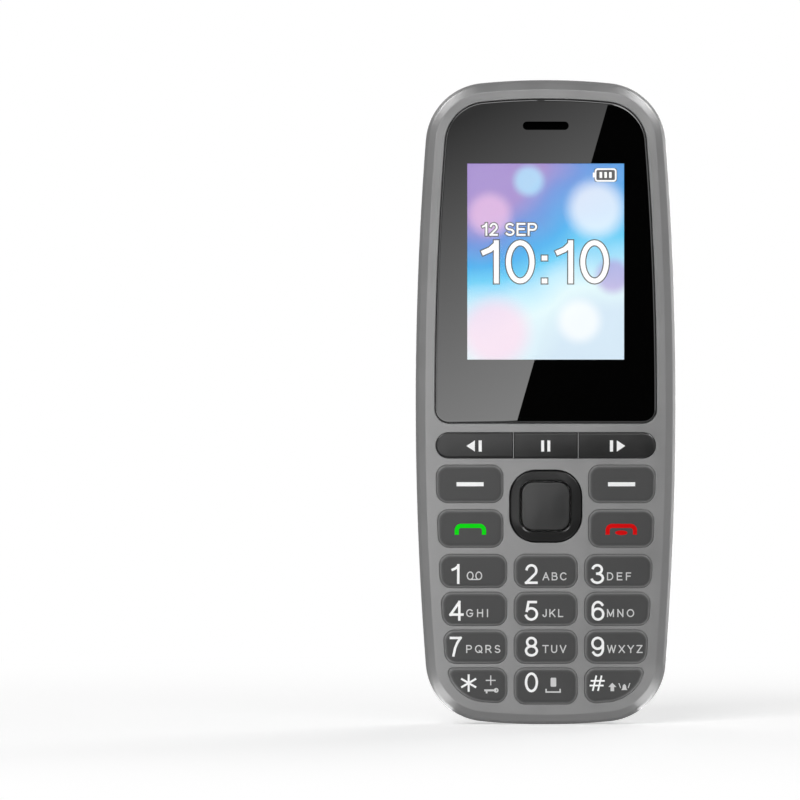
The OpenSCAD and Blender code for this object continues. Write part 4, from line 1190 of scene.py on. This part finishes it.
# Width and pen lines of each sign, in a box one high
GLYPHS = {
    "0": (0.62, [bow(0.31, 0.5, 0.31, 0.5, 90, 450)]),
    "1": (0.36, [[(0.36, 1), (0.36, 0)], [(0.32, 0.93), (0.2, 0.82), (0.04, 0.75)]]),
    "2": (0.6, [[*bow(0.31, 0.7, 0.28, 0.3, 165, -38), (0.01, 0), (0.6, 0)]]),
    "3": (0.62, [bow(0.29, 0.76, 0.26, 0.24, 160, -90), bow(0.29, 0.26, 0.32, 0.26, 90, -160)]),
    "4": (0.68, [[(0.5, 0), (0.5, 1), (0, 0.28), (0.3, 0.28)], [(0.3, 0.28), (0.68, 0.28)]]),
    "5": (0.62, [[(0.56, 1), (0.14, 1), (0.05, 0.5), *bow(0.3, 0.32, 0.32, 0.32, 138, -160)]]),
    "6": (0.64, DIGIT_6),
    "7": (0.62, [[(0.05, 1), (0.6, 1), (0.42, 0.72), (0.29, 0.42), (0.2, 0)]]),
    "8": (0.62, [bow(0.31, 0.76, 0.25, 0.24, 0, 360), bow(0.31, 0.26, 0.31, 0.26, 0, 360)]),
    "9": (0.64, [[(0.64 - x, 1 - z) for x, z in line] for line in DIGIT_6]),
    "A": (0.84, [[(0, 0), (0.42, 1), (0.84, 0)], [(0.15, 0.34), (0.69, 0.34)]]),
    "B": (0.7, [[(0, 0), (0, 1), (0.38, 1), *bow(0.38, 0.765, 0.24, 0.235, 90, -90), (0, 0.53)],
                [(0.4, 0.53), *bow(0.42, 0.265, 0.28, 0.265, 90, -90), (0, 0)]]),
    "C": (0.8, [bow(0.44, 0.5, 0.44, 0.5, 42, 318)]),
    "D": (0.76, [[(0, 0), (0, 1), (0.3, 1), *bow(0.3, 0.5, 0.46, 0.5, 90, -90), (0, 0)]]),
    "E": (0.66, [[(0.64, 1), (0, 1), (0, 0), (0.66, 0)], [(0, 0.53), (0.58, 0.53)]]),
    "F": (0.6, [[(0.6, 1), (0, 1), (0, 0)], [(0, 0.53), (0.52, 0.53)]]),
    "G": (0.86, [[*bow(0.45, 0.5, 0.45, 0.5, 45, 325), (0.86, 0.46), (0.5, 0.46)]]),
    "H": (0.72, [[(0, 0), (0, 1)], [(0.72, 0), (0.72, 1)], [(0, 0.53), (0.72, 0.53)]]),
    "I": (0.0, [[(0, 0), (0, 1)]]),
    "J": (0.46, [[(0.46, 1), *bow(0.23, 0.26, 0.23, 0.26, 0, -170)]]),
    "K": (0.74, [[(0, 0), (0, 1)], [(0.7, 1), (0, 0.34)], [(0.25, 0.58), (0.74, 0)]]),
    "L": (0.58, [[(0, 1), (0, 0), (0.58, 0)]]),
    "M": (0.86, [[(0, 0), (0, 1), (0.43, 0.1), (0.86, 1), (0.86, 0)]]),
    "N": (0.72, [[(0, 0), (0, 1), (0.72, 0), (0.72, 1)]]),
    "O": (0.92, [bow(0.46, 0.5, 0.46, 0.5, 0, 360)]),
    "P": (0.68, LETTER_P),
    "Q": (0.92, [bow(0.46, 0.5, 0.46, 0.5, 0, 360), [(0.56, 0.24), (0.92, -0.04)]]),
    "R": (0.74, [*LETTER_P, [(0.38, 0.46), (0.74, 0)]]),
    "S": (0.68, [bow(0.34, 0.745, 0.31, 0.255, 35, 270) + bow(0.34, 0.245, 0.34, 0.245, 90, -150)]),
    "T": (0.74, [[(0, 1), (0.74, 1)], [(0.37, 1), (0.37, 0)]]),
    "U": (0.72, [[(0, 1), *bow(0.36, 0.34, 0.36, 0.34, 180, 360), (0.72, 1)]]),
    "V": (0.8, [[(0, 1), (0.4, 0), (0.8, 1)]]),
    "W": (1.16, [[(0, 1), (0.29, 0), (0.58, 1), (0.87, 0), (1.16, 1)]]),
    "X": (0.76, [[(0, 0), (0.76, 1)], [(0, 1), (0.76, 0)]]),
    "Y": (0.8, [[(0, 1), (0.4, 0.46), (0.8, 1)], [(0.4, 0.46), (0.4, 0)]]),
    "Z": (0.72, [[(0, 1), (0.7, 1), (0, 0), (0.72, 0)]]),
    "*": (0.92, [[(0.46, 0), (0.46, 1)], [(0.03, 0.25), (0.89, 0.75)], [(0.03, 0.75), (0.89, 0.25)]]),
    "#": (1.0, [[(0.2, 0), (0.44, 1)], [(0.58, 0), (0.82, 1)], [(0.02, 0.33), (0.92, 0.33)],
                [(0.1, 0.67), (1.0, 0.67)]]),
    ":": (0.02, [[(0, 0), (0.02, 0)], [(0, 0.6), (0.02, 0.6)]]),
    " ": (0.12, []),
}
INK_T = 0.02
INK_SINK = 0.03
INK_STEP = 0.002
SHARP_TURN = math.radians(100)


def strokes(points):
    """The pen line in pieces that end at its sharp corners."""
    points = points[:1] + [p for before, p in zip(points, points[1:]) if (p - before).length > TINY]
    pieces = [points[:1]]
    for before, p, after in zip(points, points[1:], points[2:]):
        pieces[-1].append(p)
        if (p - before).angle(after - p) > SHARP_TURN:
            pieces.append([p])
    pieces[-1].append(points[-1])
    return pieces


class Legend:
    """Printed marks on one flat face, which is the top of a key unless a depth is given."""

    def __init__(self, depth=-KEY_PROUD):
        self.solid = Solid()
        self.d0 = depth - INK_T
        self.d1 = depth + INK_SINK

    def line(self, points, width):
        """Pen line, each stroke a little higher than the one before so that crossings are clean."""
        for stroke in strokes(points):
            self.d0 -= INK_STEP
            self.solid.ribbon(stroke, width, self.d0, self.d1)

    def draw(self, lines, x=0, z=0):
        """Pen lines of a sign, each with its width."""
        for points, width in lines:
            self.line([Vector(p) + Vector((x, z)) for p in points], width)

    def fill(self, points, x=0, z=0):
        """Filled shape of a sign."""
        self.d0 -= INK_STEP
        self.solid.slab([Vector(p) + Vector((x, z)) for p in points], self.d0, self.d1)

    def write(self, text, left, base, height, width, space=0.0):
        """Signs of a height over all, with the left and lower edge at left and base."""
        size = height - width
        for sign in text:
            advance, lines = GLYPHS[sign]
            foot = Vector((left + width / 2, base + width / 2))
            for line in lines:
                self.line([foot + size * Vector(p) for p in line], width)
            left += advance * size + width + space

    def piece(self, name, body, material):
        self.solid.piece(name, body, [material])


# Lettering of the keys: heights, pen widths and places
DIGIT_H = 3.55
DIGIT_W = 0.44
DIGIT_LEFTS = (-17.2, -3.75, 8.05)
DIGIT_SHIFTS = {"key_1": 0.25, "key_7": -0.1}
DIGIT_RISES = (0.7, 0.9, 1.25)
LETTER_H = 1.42
LETTER_W = 0.2
LETTER_RISE = 0.65
LETTER_LEFTS = (-14.2, -0.6, 10.9)
LETTERS = {"key_2": ("ABC", 4.3), "key_3": ("DEF", 4.3), "key_4": ("GHI", 3.9), "key_5": ("JKL", 3.7),
           "key_6": ("MNO", 4.85), "key_7": ("PQRS", 6.1), "key_8": ("TUV", 4.25), "key_9": ("WXYZ", 6.35)}
LOW_RISE = 2.15

# Signs as pen lines about their own origin, each with its width, or as filled shapes
REEL_R = LETTER_H * 0.36
REELS = [(bow(x * REEL_R, 1.6 * REEL_R, REEL_R, 1.3 * REEL_R, 0, 360), LETTER_W) for x in (1, 4)]
REELS.append(([(REEL_R, 0.3 * REEL_R), (4 * REEL_R, 0.3 * REEL_R)], LETTER_W))
REELS_SHIFT = 0.2
PLUS = [([(-x, -z), (x, z)], 0.2) for x, z in ((0, 0.775), (0.775, 0))]
LOCK = (([(0, 0), (1.8, 0)], 0.34), (bow(1.95, 0, 0.3, 0.3, 0, 360), 0.24),
        ([(0.25, 0), (0.25, -0.4)], 0.3))
TRAY = (([(0, 0.45), (0, 0), (2.5, 0), (2.5, 0.45)], 0.24),)
TRAY_BLOCK = box_outline(0.8, 1.8, 0.95, 2.55, 0.2)
ARROW = ((-0.32, 0), (0.32, 0), (0.32, 0.75), (0.72, 0.75), (0, 1.5), (-0.72, 0.75), (-0.32, 0.75))
BELL = ((-0.55, 0.2), (0.55, 0.2), (0.36, 0.5), (0.3, 1.0), (0, 1.3), (-0.3, 1.0), (-0.36, 0.5))
BELL_RAYS = [([(side * 0.7, 0.65), (side * 0.95, 1.35)], 0.16) for side in (-1, 1)]
DASH = (([(-2.05, 0), (2.05, 0)], 0.73),)
HANDSET_R = 0.75
HANDSET_FEET = spots((-2.43, 0), (-2.43, 1.2), (2.43, 1.2), (2.43, 0))
HANDSET_BEND = fillet(*HANDSET_FEET[:3], HANDSET_R) + fillet(*HANDSET_FEET[1:], HANDSET_R)
HANDSET = (([HANDSET_FEET[0], *HANDSET_BEND, HANDSET_FEET[-1]], 0.74),)
HOOK = bow(0, -0.02, 1.1, 0.42, 0, 348)
PAUSE = [([(x, -0.73), (x, 0.73)], 0.52) for x in (-0.57, 0.53)]
SKIP_BAR = (([(0, -0.72), (0, 0.72)], 0.56),)
SKIP_X = 11.7
SKIP_TIP_X = 14.15
SKIP_WEDGE = ((0, 0), (-1.5, 1.0), (-1.5, -1.0))
MEDIA_DROP = 0.1
DASH_X = 13.5
DASH_DROP = 0.05
HANDSET_X = 13.45
HANDSET_RISE = 2.65

# Lowest row: name, sign, left, rise, height and pen width of each large mark
LOW_MARKS = {"key_star": ("mark", "*", -15.2, 0.1, 3.1, 0.36),
             "key_0": ("digit", "0", DIGIT_LEFTS[1], 0, DIGIT_H, DIGIT_W),
             "key_hash": ("mark", "#", 7.75, 0.25, 2.75, 0.3)}

# Small signs of the lowest row, drawn or filled, with x and rise of their origins
LOW_SIGNS = {"key_star": ((Legend.draw, PLUS, -9.825, 2.125), (Legend.draw, LOCK, -10.8, 0.35)),
             "key_0": ((Legend.draw, TRAY, 0.05, 0.05), (Legend.fill, TRAY_BLOCK, 0.05, 0.05)),
             "key_hash": ((Legend.fill, ARROW, 11.85, 0.2), (Legend.fill, BELL, 14.0, 0.2),
                          (Legend.draw, BELL_RAYS, 14.0, 0.2))}


def letter_space(text, width):
    """Space between the letters of a group that is to be so wide over all."""
    taken = sum(GLYPHS[sign][0] * (LETTER_H - LETTER_W) + LETTER_W for sign in text)
    return (width - taken) / (len(text) - 1)


def key_text(name, node, *writing):
    """A white sign on a key."""
    mark = Legend()
    mark.write(*writing)
    mark.piece(name, node, INK_WHITE)


def number_legends():
    """Digits and letter groups of the upper three rows."""
    for row, rise in zip(NUMBER_ROWS, DIGIT_RISES):
        for node, left, letters_left in zip(row, DIGIT_LEFTS, LETTER_LEFTS):
            base = key_room(node)[0].z + rise
            left += DIGIT_SHIFTS.get(node, 0)
            key_text(f"{node}_digit", node, node[-1], left, base, DIGIT_H, DIGIT_W)
            small = Legend()
            base += LETTER_RISE
            if node in LETTERS:
                space = letter_space(*LETTERS[node])
                small.write(LETTERS[node][0], letters_left, base, LETTER_H, LETTER_W, space)
            else:
                small.draw(REELS, letters_left + REELS_SHIFT, base)
            small.piece(f"{node}_letters", node, INK_PALE)


def low_row_legends():
    """Marks of the lowest row: star, zero and hash with their small signs."""
    base = key_room("key_0")[0].z + LOW_RISE
    for node, (name, sign, left, rise, height, width) in LOW_MARKS.items():
        key_text(f"{node}_{name}", node, sign, left, base + rise, height, width)
        small = Legend()
        for make, shape, x, up in LOW_SIGNS[node]:
            make(small, shape, x, base + up)
        small.piece(f"{node}_signs", node, INK_PALE)


def control_legends():
    """Dashes of the soft keys and the handset signs of the call and end keys."""
    for node, hand in CONTROL_HANDS.items():
        low, high = key_room(node)
        mark = Legend()
        if "soft" in node:
            mark.draw(DASH, hand * DASH_X, (low.z + high.z) / 2 - DASH_DROP)
            mark.piece(f"{node}_dash", node, INK_WHITE)
            continue
        spot = (hand * HANDSET_X, low.z + HANDSET_RISE)
        mark.draw(HANDSET, *spot)
        if node == "end_key":
            mark.fill(HOOK, *spot)
        mark.piece(f"{node}_sign", node, INK_GREEN if node == "call_key" else INK_RED)


def media_legends():
    """Skip and pause signs of the media strip."""
    z = (MEDIA_LOW.z + MEDIA_HIGH.z) / 2 - MEDIA_DROP
    for node, hand in MEDIA_HANDS.items():
        mark = Legend()
        if hand == 0:
            mark.draw(PAUSE, 0, z)
        else:
            mark.draw(SKIP_BAR, hand * SKIP_X, z)
            mark.fill([(hand * x, y) for x, y in SKIP_WEDGE], hand * SKIP_TIP_X, z)
        mark.piece(f"{node}_sign", node, INK_WHITE)


# Screen texts: left, base, height, pen width, space and dark rim of each
SCREEN_TEXTS = (("10:10", -11.7, 78.7, 7.7, 0.88, 1.27, 0.2),
                ("12 SEP", -11.45, 87.2, 2.3, 0.34, 0.36, 0.16))

# Battery sign of the screen: left, right, lower and upper edge, then the radius of the dark rim
CHARGE = (8.9, 12.5, 97.0, 99.1)
CHARGE_RIM = (8.65, 12.75, 96.8, 99.3, 0.5)
CHARGE_R = 0.4
CHARGE_PEN = 0.3
CHARGE_BARS = [([(x, 97.75), (x, 98.35)], 0.46) for x in (9.85, 10.7, 11.55)]
CHARGE_TIP = (([(8.6, 97.8), (8.6, 98.3)], 0.36),)


def screen_marks():
    """Clock, date and battery sign on the lit picture."""
    depth = PANEL_D0 - INK_SINK
    shadow = Legend(depth + INK_T / 2)
    clear = Legend(depth - INK_T / 2)
    for text, left, base, height, width, space, rim in SCREEN_TEXTS:
        clear.write(text, left, base, height, width, space)
        shadow.write(text, left - rim, base - rim, height + 2 * rim, width + 2 * rim, space - 2 * rim)
    shadow.fill(box_outline(*CHARGE_RIM))
    edge = box_outline(*CHARGE, CHARGE_R)
    clear.line([*edge, edge[0]], CHARGE_PEN)
    clear.draw(CHARGE_BARS)
    clear.draw(CHARGE_TIP)
    shadow.piece("screen_shadows", "handset", SCREEN_DARK)
    clear.piece("screen_signs", "handset", SCREEN_WHITE)


# Rear

def roll(inset, start, end):
    """Inset and depth of a rear shell that lies in from the outer surface, from its rim to its flat back."""
    steps = [(inset, start)]
    for i in range(ROLL_STEPS + 1):
        t = math.pi / 2 * i / ROLL_STEPS
        steps.append((inset + (ROLL_W - inset) * (1 - math.cos(t)), ROLL_Z + (end - ROLL_Z) * math.sin(t)))
    return steps


def level_cutter(profile, z0, z1):
    """Solid to cut away between two heights, from points of x and depth."""
    cutter = Solid()
    rings = [cutter.rail(profile, z) for z in (z0, z1)]
    cutter.loft(rings)
    for ring in rings:
        cutter.face(ring)
    return cutter


def usb_notch(front=COVER_FRONT):
    """Room round the charging port, from a depth counted from the parting line."""
    low, high = node_box("usb_port")
    room = 2 * FIT
    x = high.x + room
    d0 = SPLIT_D + front
    d1 = node_depths("usb_port")[1] + room
    profile = rounded(spots((-x, d0), (x, d0), (x, d1), (-x, d1)), [0, 0, room, room])
    return level_cutter(profile, low.z - CUT_OUT, low.z + CUT_IN)


def jack_notch(front=COVER_FRONT):
    """Round notch for the headset socket, from a depth counted from the parting line."""
    reach = JACK_NOSE + FIT
    x = node_middle("headset_jack").x
    d = node_depths("headset_jack")[1] - JACK_NOSE
    top = node_box("headset_jack")[1].z
    profile = [Vector((x + side * reach, SPLIT_D + front)) for side in (-1, 1)]
    profile += arc((x, d), reach, 0, 180, HALF_STEPS) + [Vector((x - reach, d))]
    return level_cutter(profile, top - CUT_IN, top + CUT_OUT)


def mic_hole():
    """Round hole through the lower end, below the microphone."""
    middle = (node_middle("microphone").x, node_depths("microphone")[0] + MIC_IN)
    return level_cutter(circle(middle, MIC_R, HALF_STEPS), *MIC_CUT)


def trim_outline(inset):
    return upright(TRIM_W - 2 * inset, TRIM_L - 2 * inset, TRIM_Z)


def camera_outline(radius):
    return circle((0, CAMERA_Z), radius)


def rear_cover():
    """Rear cover with rolled edges, the pocket of the trim and the notches of the ends."""
    solid = Solid()
    rim = SPLIT_D + SEAM
    rebate = rim + TONGUE_L
    inside = [solid.ring(outline(i), d) for i, d in reversed(roll(WALL, rebate, BODY_T - WALL))]
    inside += [solid.ring(outline(TONGUE_IN - FIT / 2), d) for d in (rebate, rim)]
    outside = [solid.crowned_ring(outline(i), d) for i, d in roll(0, rim, BODY_T)]
    solid.loft(inside + outside)
    pocket = trim_outline(-TRIM_GAP)
    through = trim_outline(TRIM_RIM + TRIM_LEDGE)
    steps = [solid.crowned_ring(pocket, BODY_T), solid.ring(pocket, TRIM_D0),
             solid.ring(through, TRIM_D0), solid.ring(through, BODY_T - WALL)]
    solid.loft(steps)
    solid.crowned_sheet(outside[-1], [steps[0]])
    solid.sheet(inside[0], [steps[-1]])
    notches = [usb_notch(), jack_notch(), mic_hole()]
    solid.piece("rear_cover_shell", "back_cover", [COVER], ["rear_cover"], "cover", CREASED, notches)


def snap_tabs():
    """Snap tabs inside the long sides of the cover."""
    solid = Solid()
    for z in TAB_ZS:
        edge = [z + TAB_W * (i / TAB_STEPS - 0.5) for i in range(TAB_STEPS + 1)]
        points = [Vector((half_w(y, TAB_IN), y)) for y in edge]
        points += [Vector((half_w(y, TAB_IN + TAB_T), y)) for y in reversed(edge)]
        for shape in (points, mirrored(points)):
            solid.slab(shape, TAB_D0, TAB_D1)
    solid.piece("cover_tabs", "back_cover", [COVER], slot="cover")


def trim_ring():
    """Bright rim with a round crest."""
    solid = Solid()
    half = TRIM_RIM / 2
    crest = half * TRIM_CREST
    angles = [math.pi * i / TRIM_STEPS for i in range(TRIM_STEPS + 1)]
    rounds = [(half - half * math.cos(t), BODY_T - crest * (1 - math.sin(t))) for t in angles]
    solid.hoop(trim_outline, [(0, TRIM_D0), *rounds, (TRIM_RIM, TRIM_D0)])
    solid.piece("trim_rim", "back_cover", [RIM], ["rear_trim_ring"], "trim_bright", SMOOTH)


def trim_plate():
    """Glossy plate with six sound slots and the camera hole."""
    solid = Solid()
    front, rear = solid.tube(trim_outline(TRIM_RIM + FIT / 2), TRIM_D0, PLATE_D1)
    middle = Vector((0, SOUND_Z))
    walls = []
    for i in range(SOUND_COUNT):
        t = math.tau * i / SOUND_COUNT + math.pi / 2
        way = Vector((math.cos(t), math.sin(t)))
        slot = capsule(middle + way * SOUND_IN, middle + way * SOUND_OUT, SOUND_W)
        walls.append(solid.tube(slot, TRIM_D0, PLATE_D1))
    seat = CAMERA_R + FIT / 2
    steps = ((CAMERA_HOLE_R, TRIM_D0), (CAMERA_HOLE_R, CAMERA_D0), (seat, CAMERA_D0), (seat, PLATE_D1))
    walls.append(solid.skin(camera_outline, steps))
    solid.sheet(front, [wall[0] for wall in walls])
    solid.sheet(rear, [wall[-1] for wall in walls])
    solid.piece("trim_plate", "back_cover", [TRIM], ["rear_trim_plate"], "trim_gloss", CREASED)


def camera_eye():
    """Camera window: a glossy collar round a domed glass."""
    solid = Solid()
    soft = COLLAR_SOFT
    glass_d = PLATE_D1 - GLASS_SINK
    steps = ((CAMERA_R, CAMERA_D0), (CAMERA_R, PLATE_D1 - soft), (CAMERA_R - soft, PLATE_D1),
             (CAMERA_EYE_R + soft, PLATE_D1), (CAMERA_EYE_R, glass_d))
    collar = solid.skin(camera_outline, steps)
    solid.sheet(collar[0])
    dome = [collar[-1]]
    for i in range(1, DOME_STEPS):
        t = math.pi / 2 * i / DOME_STEPS
        points = camera_outline(CAMERA_EYE_R * math.cos(t))
        dome.append(solid.ring(points, glass_d + DOME_RISE * math.sin(t)))
    solid.loft(dome, 1)
    solid.face(dome[-1], 1)
    solid.piece("camera_eye", "back_cover", [COLLAR, EYE], ["camera_window"], "camera_glass", SMOOTH)


def battery_label():
    """Plain label with stripes on the battery."""
    low, high = node_box("battery")
    depth = node_depths("battery")[1]
    solid = Solid()
    side = LABEL_SIDE
    points = box_outline(low.x + side, high.x - side, low.z + LABEL_LOW, high.z - LABEL_TOP, LABEL_R)
    solid.slab(points, depth, depth + LABEL_T)
    solid.piece("battery_label", "handset", [LABEL])
    stripes = Solid()
    side = 2 * LABEL_SIDE
    for end, far, height in STRIPES:
        z = (low.z, high.z)[end] + far
        points = box_outline(low.x + side, high.x - side, z, z + height, STRIPE_R)
        stripes.slab(points, depth + STRIPE_RISE, depth + STRIPE_RISE + LABEL_T)
    stripes.piece("battery_stripes", "handset", [STRIPE])


front_shell()
lens()
display()
for node, shape in {**NUMBER_SHAPES, **CONTROL_SHAPES}.items():
    key_piece(node, shape, "keys", KEYS, KEY_SOFT)
for node, shape in MEDIA_SHAPES.items():
    key_piece(node, shape, "media", MEDIA, MEDIA_SOFT, MEDIA_DOME)
media_ribs()
nav_ring()
select_key()
number_legends()
low_row_legends()
control_legends()
media_legends()
screen_marks()
rear_cover()
snap_tabs()
trim_ring()
trim_plate()
camera_eye()
battery_label()


# Camera at the photograph's place: the phone stands right of the middle of the picture

PICTURE_PX = 800
FIELD = 142.64
PHONE_PX = (545.8, 724.7)
LENS_MM = 400
SENSOR_MM = 36
CLIP_END = 100
EYE_FAR = FIELD * LENS_MM / SENSOR_MM
PX = FIELD / PICTURE_PX
EYE_X = -(PHONE_PX[0] - PICTURE_PX / 2) * PX
EYE_Z = (PHONE_PX[1] - PICTURE_PX / 2) * PX

camera = link("camera", bpy.data.cameras.new("camera"))
camera.data.lens = LENS_MM
camera.data.sensor_width = SENSOR_MM
camera.data.clip_end = CLIP_END
camera.location = place((EYE_X, EYE_Z), -EYE_FAR)
camera.rotation_euler = (math.radians(90), 0, 0)
scene = bpy.context.scene
scene.camera = camera
scene.view_settings.view_transform = "Standard"


# Light and stage, in metres where no place() is used

AMBIENT = 0.17
TARGET = Vector((0, 0, BODY_L / 2 * MM))
LAMP_SIZE = 0.9
LAMPS = (("key", (-0.5, -1.6, 0.75), 17.8), ("fill", (0.55, -1.6, 0.35), 5.4),
         ("rear_key", (0.6, 1.5, 0.75), 11), ("rear_fill", (-0.6, 1.5, 0.35), 5))
FLOOR_SIZE = 4
FLOOR_NEAR = 0.06
FLOOR_FAR = 0.4
FLOOR_GLOW = 0.47


def seen_rays(tree):
    """1 on rays to the eye, in reflections and through glass, 0 on the others."""
    path = tree.nodes.new("ShaderNodeLightPath").outputs
    seen = path["Is Camera Ray"]
    for kind in ("Is Glossy Ray", "Is Transmission Ray"):
        both = tree.nodes.new("ShaderNodeMath")
        both.operation = "MAXIMUM"
        tree.links.new(seen, both.inputs[0])
        tree.links.new(path[kind], both.inputs[1])
        seen = both.outputs[0]
    return seen


def world():
    """White to the eye and in reflections, dimmer as a light."""
    scene.world = bpy.data.worlds.new("studio")
    scene.world.use_nodes = True
    tree = scene.world.node_tree
    level = tree.nodes.new("ShaderNodeMapRange")
    level.inputs["To Min"].default_value = AMBIENT
    tree.links.new(seen_rays(tree), level.inputs["Value"])
    background = tree.nodes["Background"]
    background.inputs["Color"].default_value = (1, 1, 1, 1)
    tree.links.new(level.outputs["Result"], background.inputs["Strength"])


def lamp(name, spot, watts):
    """Soft square lamp that faces the phone."""
    data = bpy.data.lights.new(name, "AREA")
    data.energy = watts
    data.size = LAMP_SIZE
    obj = link(name, data)
    obj.location = spot
    obj.rotation_euler = (TARGET - obj.location).to_track_quat("-Z", "Y").to_euler()


def quad(name, corners, paint):
    """Flat part of the stage."""
    mesh = bpy.data.meshes.new(name)
    mesh.from_pydata(corners, [], [range(4)])
    mesh.materials.append(paint.material)
    obj = link(name, mesh)
    return obj


def floor():
    """Pale floor that keeps the shadow and is white to the eye."""
    paint = Paint("floor_white", 236, 0.9, **DULL)
    far = paint.measure("LENGTH")
    plain = paint.remap(far, FLOOR_NEAR, FLOOR_FAR)
    glow = paint.remap(far, FLOOR_NEAR, FLOOR_FAR, FLOOR_GLOW, 1.0)
    paint.coat(paint.mix(plain, paint.colour, (0, 0, 0)))
    paint.glow((1, 1, 1, 1), paint.math("MULTIPLY", seen_rays(paint.tree), glow))
    s = FLOOR_SIZE
    obj = quad("floor", [(-s, -s, 0), (s, -s, 0), (s, s, 0), (-s, s, 0)], paint)
    obj.location.z = CAD_BOX[0].z


def card(name, corners, glow, ends=None):
    """Panel that only shows in reflections; between two ends its glow goes from one level to another."""
    paint = Paint(name, 0, 1.0, **DULL)
    level = paint.remap(paint.along(*ends), 0, 1, *glow, kind="LINEAR") if ends else glow
    paint.glow((1, 1, 1, 1), level)
    obj = quad(name, corners, paint)
    obj.visible_camera = False
    obj.visible_diffuse = False
    obj.visible_shadow = False
    obj.visible_transmission = False


def upright_card(x0, x1, z0, z1, depth):
    """Corners of a card that stands parallel to the front face."""
    return [place(corner, depth) for corner in ((x0, z0), (x1, z0), (x1, z1), (x0, z1))]


def side_card(x, z0, z1, d0, d1):
    """Corners of a card that stands beside the phone, from one depth to another."""
    return [place((x, z), depth) for z, depth in ((z0, d0), (z0, d1), (z1, d1), (z1, d0))]


def level_card(x0, x1, z, d0, d1):
    """Corners of a card that lies level, from one depth to another."""
    return [place((x, z), depth) for x, depth in ((x0, d0), (x1, d0), (x1, d1), (x0, d1))]


# Reflections on the lens and the rear plate, in millimetres
GLARE_TOP = Vector((11.0, 110.4))
GLARE_LOW = Vector((-5.22, 53.86))
GLARE_DIM = (-11.7, 109.6)
GLARE_BRIGHT = (16.7, 56.8)
GLARE_GLOW = (0.8, 5.95)
GLARE_LEFT = -90
GLARE_Z = (-20, 160)
GLARE_FAR = 150
FLAG_FAR = 2020
FLAG_REACH = 900
FLAG = (-FLAG_REACH, FLAG_REACH, -FLAG_REACH, FLAG_REACH)
NEAR_FLAG = (-120, 120, 0, 220, -500)
SIDE_PANEL = (-110, -30, -20, 150, -GLARE_FAR)
SIDE_GLOW = 16
TOP_PANEL = (-70, 70, 125, 220, -GLARE_FAR)
TOP_GLOW = 9
REAR_PANEL = ((12.54, -20), (110, -20), (110, 160), (-8.53, 160))
REAR_GLOW = (5.6, 14)
REAR_GLOW_XS = (4, 80)
REAR_SIDE = (140, -20, 160, 0, 90)
REAR_SIDE_GLOW = 5

# Glints on the sloped band: upper corners in metres, foot and sides in millimetres
GLINT_SPOT = (0.3, -0.06, 0.36)
GLINT_SIZE = 0.11
GLINT_GLOWS = {-1: 24, 1: 29}
GLINT_SCREEN = ((0, -0.2, 0.118), (0, 0.2, 0.118), (0, 0.2, 0.45), (0, -0.2, 0.45))
FOOT_Z = 0.6
FOOT_XS = (18, 34)
FOOT_DEPTHS = (-16, 6)
FOOT_GLOW = 9
FOOT_PANEL = (-20, 20, FOOT_Z, -45, 1)
FOOT_PANEL_GLOW = 1.6
EDGE_X = 150
EDGE_PANEL = (-10, 130, -70, 10)
EDGE_GLOW = 1.65


def mirror_spot(x, z):
    """Where a point of the lens shows the panel in front of it, seen from the camera."""
    grow = GLARE_FAR / EYE_FAR
    return place((x + (x - EYE_X) * grow, z + (z - EYE_Z) * grow), LENS_D0 - GLARE_FAR)


def glare_edge(z):
    """Right end of the bright part of the lens at a height."""
    return GLARE_LOW.lerp(GLARE_TOP, (z - GLARE_LOW.y) / (GLARE_TOP.y - GLARE_LOW.y)).x


def lens_reflections():
    """Dark flags in front of the lens, and a slanted bright panel that covers its left part."""
    card("far_flag", upright_card(*FLAG, -FLAG_FAR), 0)
    card("near_flag", upright_card(*NEAR_FLAG), 0)
    low, top = GLARE_Z
    corners = ((GLARE_LEFT, low), (glare_edge(low), low), (glare_edge(top), top), (GLARE_LEFT, top))
    panel = [mirror_spot(*corner) for corner in corners]
    card("slant_panel", panel, GLARE_GLOW, [mirror_spot(*GLARE_DIM), mirror_spot(*GLARE_BRIGHT)])
    card("side_panel", upright_card(*SIDE_PANEL), SIDE_GLOW)
    card("top_panel", upright_card(*TOP_PANEL), TOP_GLOW)


def rear_reflections():
    """Dark flag behind the phone, and a slanted bright panel that the glossy plate shows."""
    card("rear_flag", upright_card(*FLAG, BODY_T + FLAG_FAR), 0)
    panel = [place(corner, BODY_T + GLARE_FAR) for corner in REAR_PANEL]
    card("rear_panel", panel, REAR_GLOW, [place((x, 0), 0) for x in REAR_GLOW_XS])
    card("rear_side_panel", side_card(*REAR_SIDE), REAR_SIDE_GLOW)


def facing_card(spot):
    """Corners of a square card that faces the phone."""
    toward = (TARGET - spot).normalized()
    right = toward.cross(Vector((0, 1, 0))).normalized() * GLINT_SIZE
    up = right.cross(toward).normalized() * GLINT_SIZE
    return [spot - right - up, spot + right - up, spot + right + up, spot - right + up]


def corner_glints():
    """Bright panels beyond the upper corners and beside the foot, for the glints on the sloped band."""
    for i, (side, glow) in enumerate(GLINT_GLOWS.items()):
        x, y, z = GLINT_SPOT
        card(f"glint_{i}", facing_card(TARGET + Vector((side * x, y, z))), glow)
        foot = level_card(*(side * x for x in FOOT_XS), FOOT_Z, *FOOT_DEPTHS)
        card(f"foot_glint_{i}", foot, FOOT_GLOW)
        card(f"edge_panel_{i}", side_card(side * EDGE_X, *EDGE_PANEL), EDGE_GLOW)
    card("glint_screen", GLINT_SCREEN, 1)
    card("foot_panel", level_card(*FOOT_PANEL), FOOT_PANEL_GLOW)


world()
for values in LAMPS:
    lamp(*values)
floor()
lens_reflections()
rear_reflections()
corner_glints()
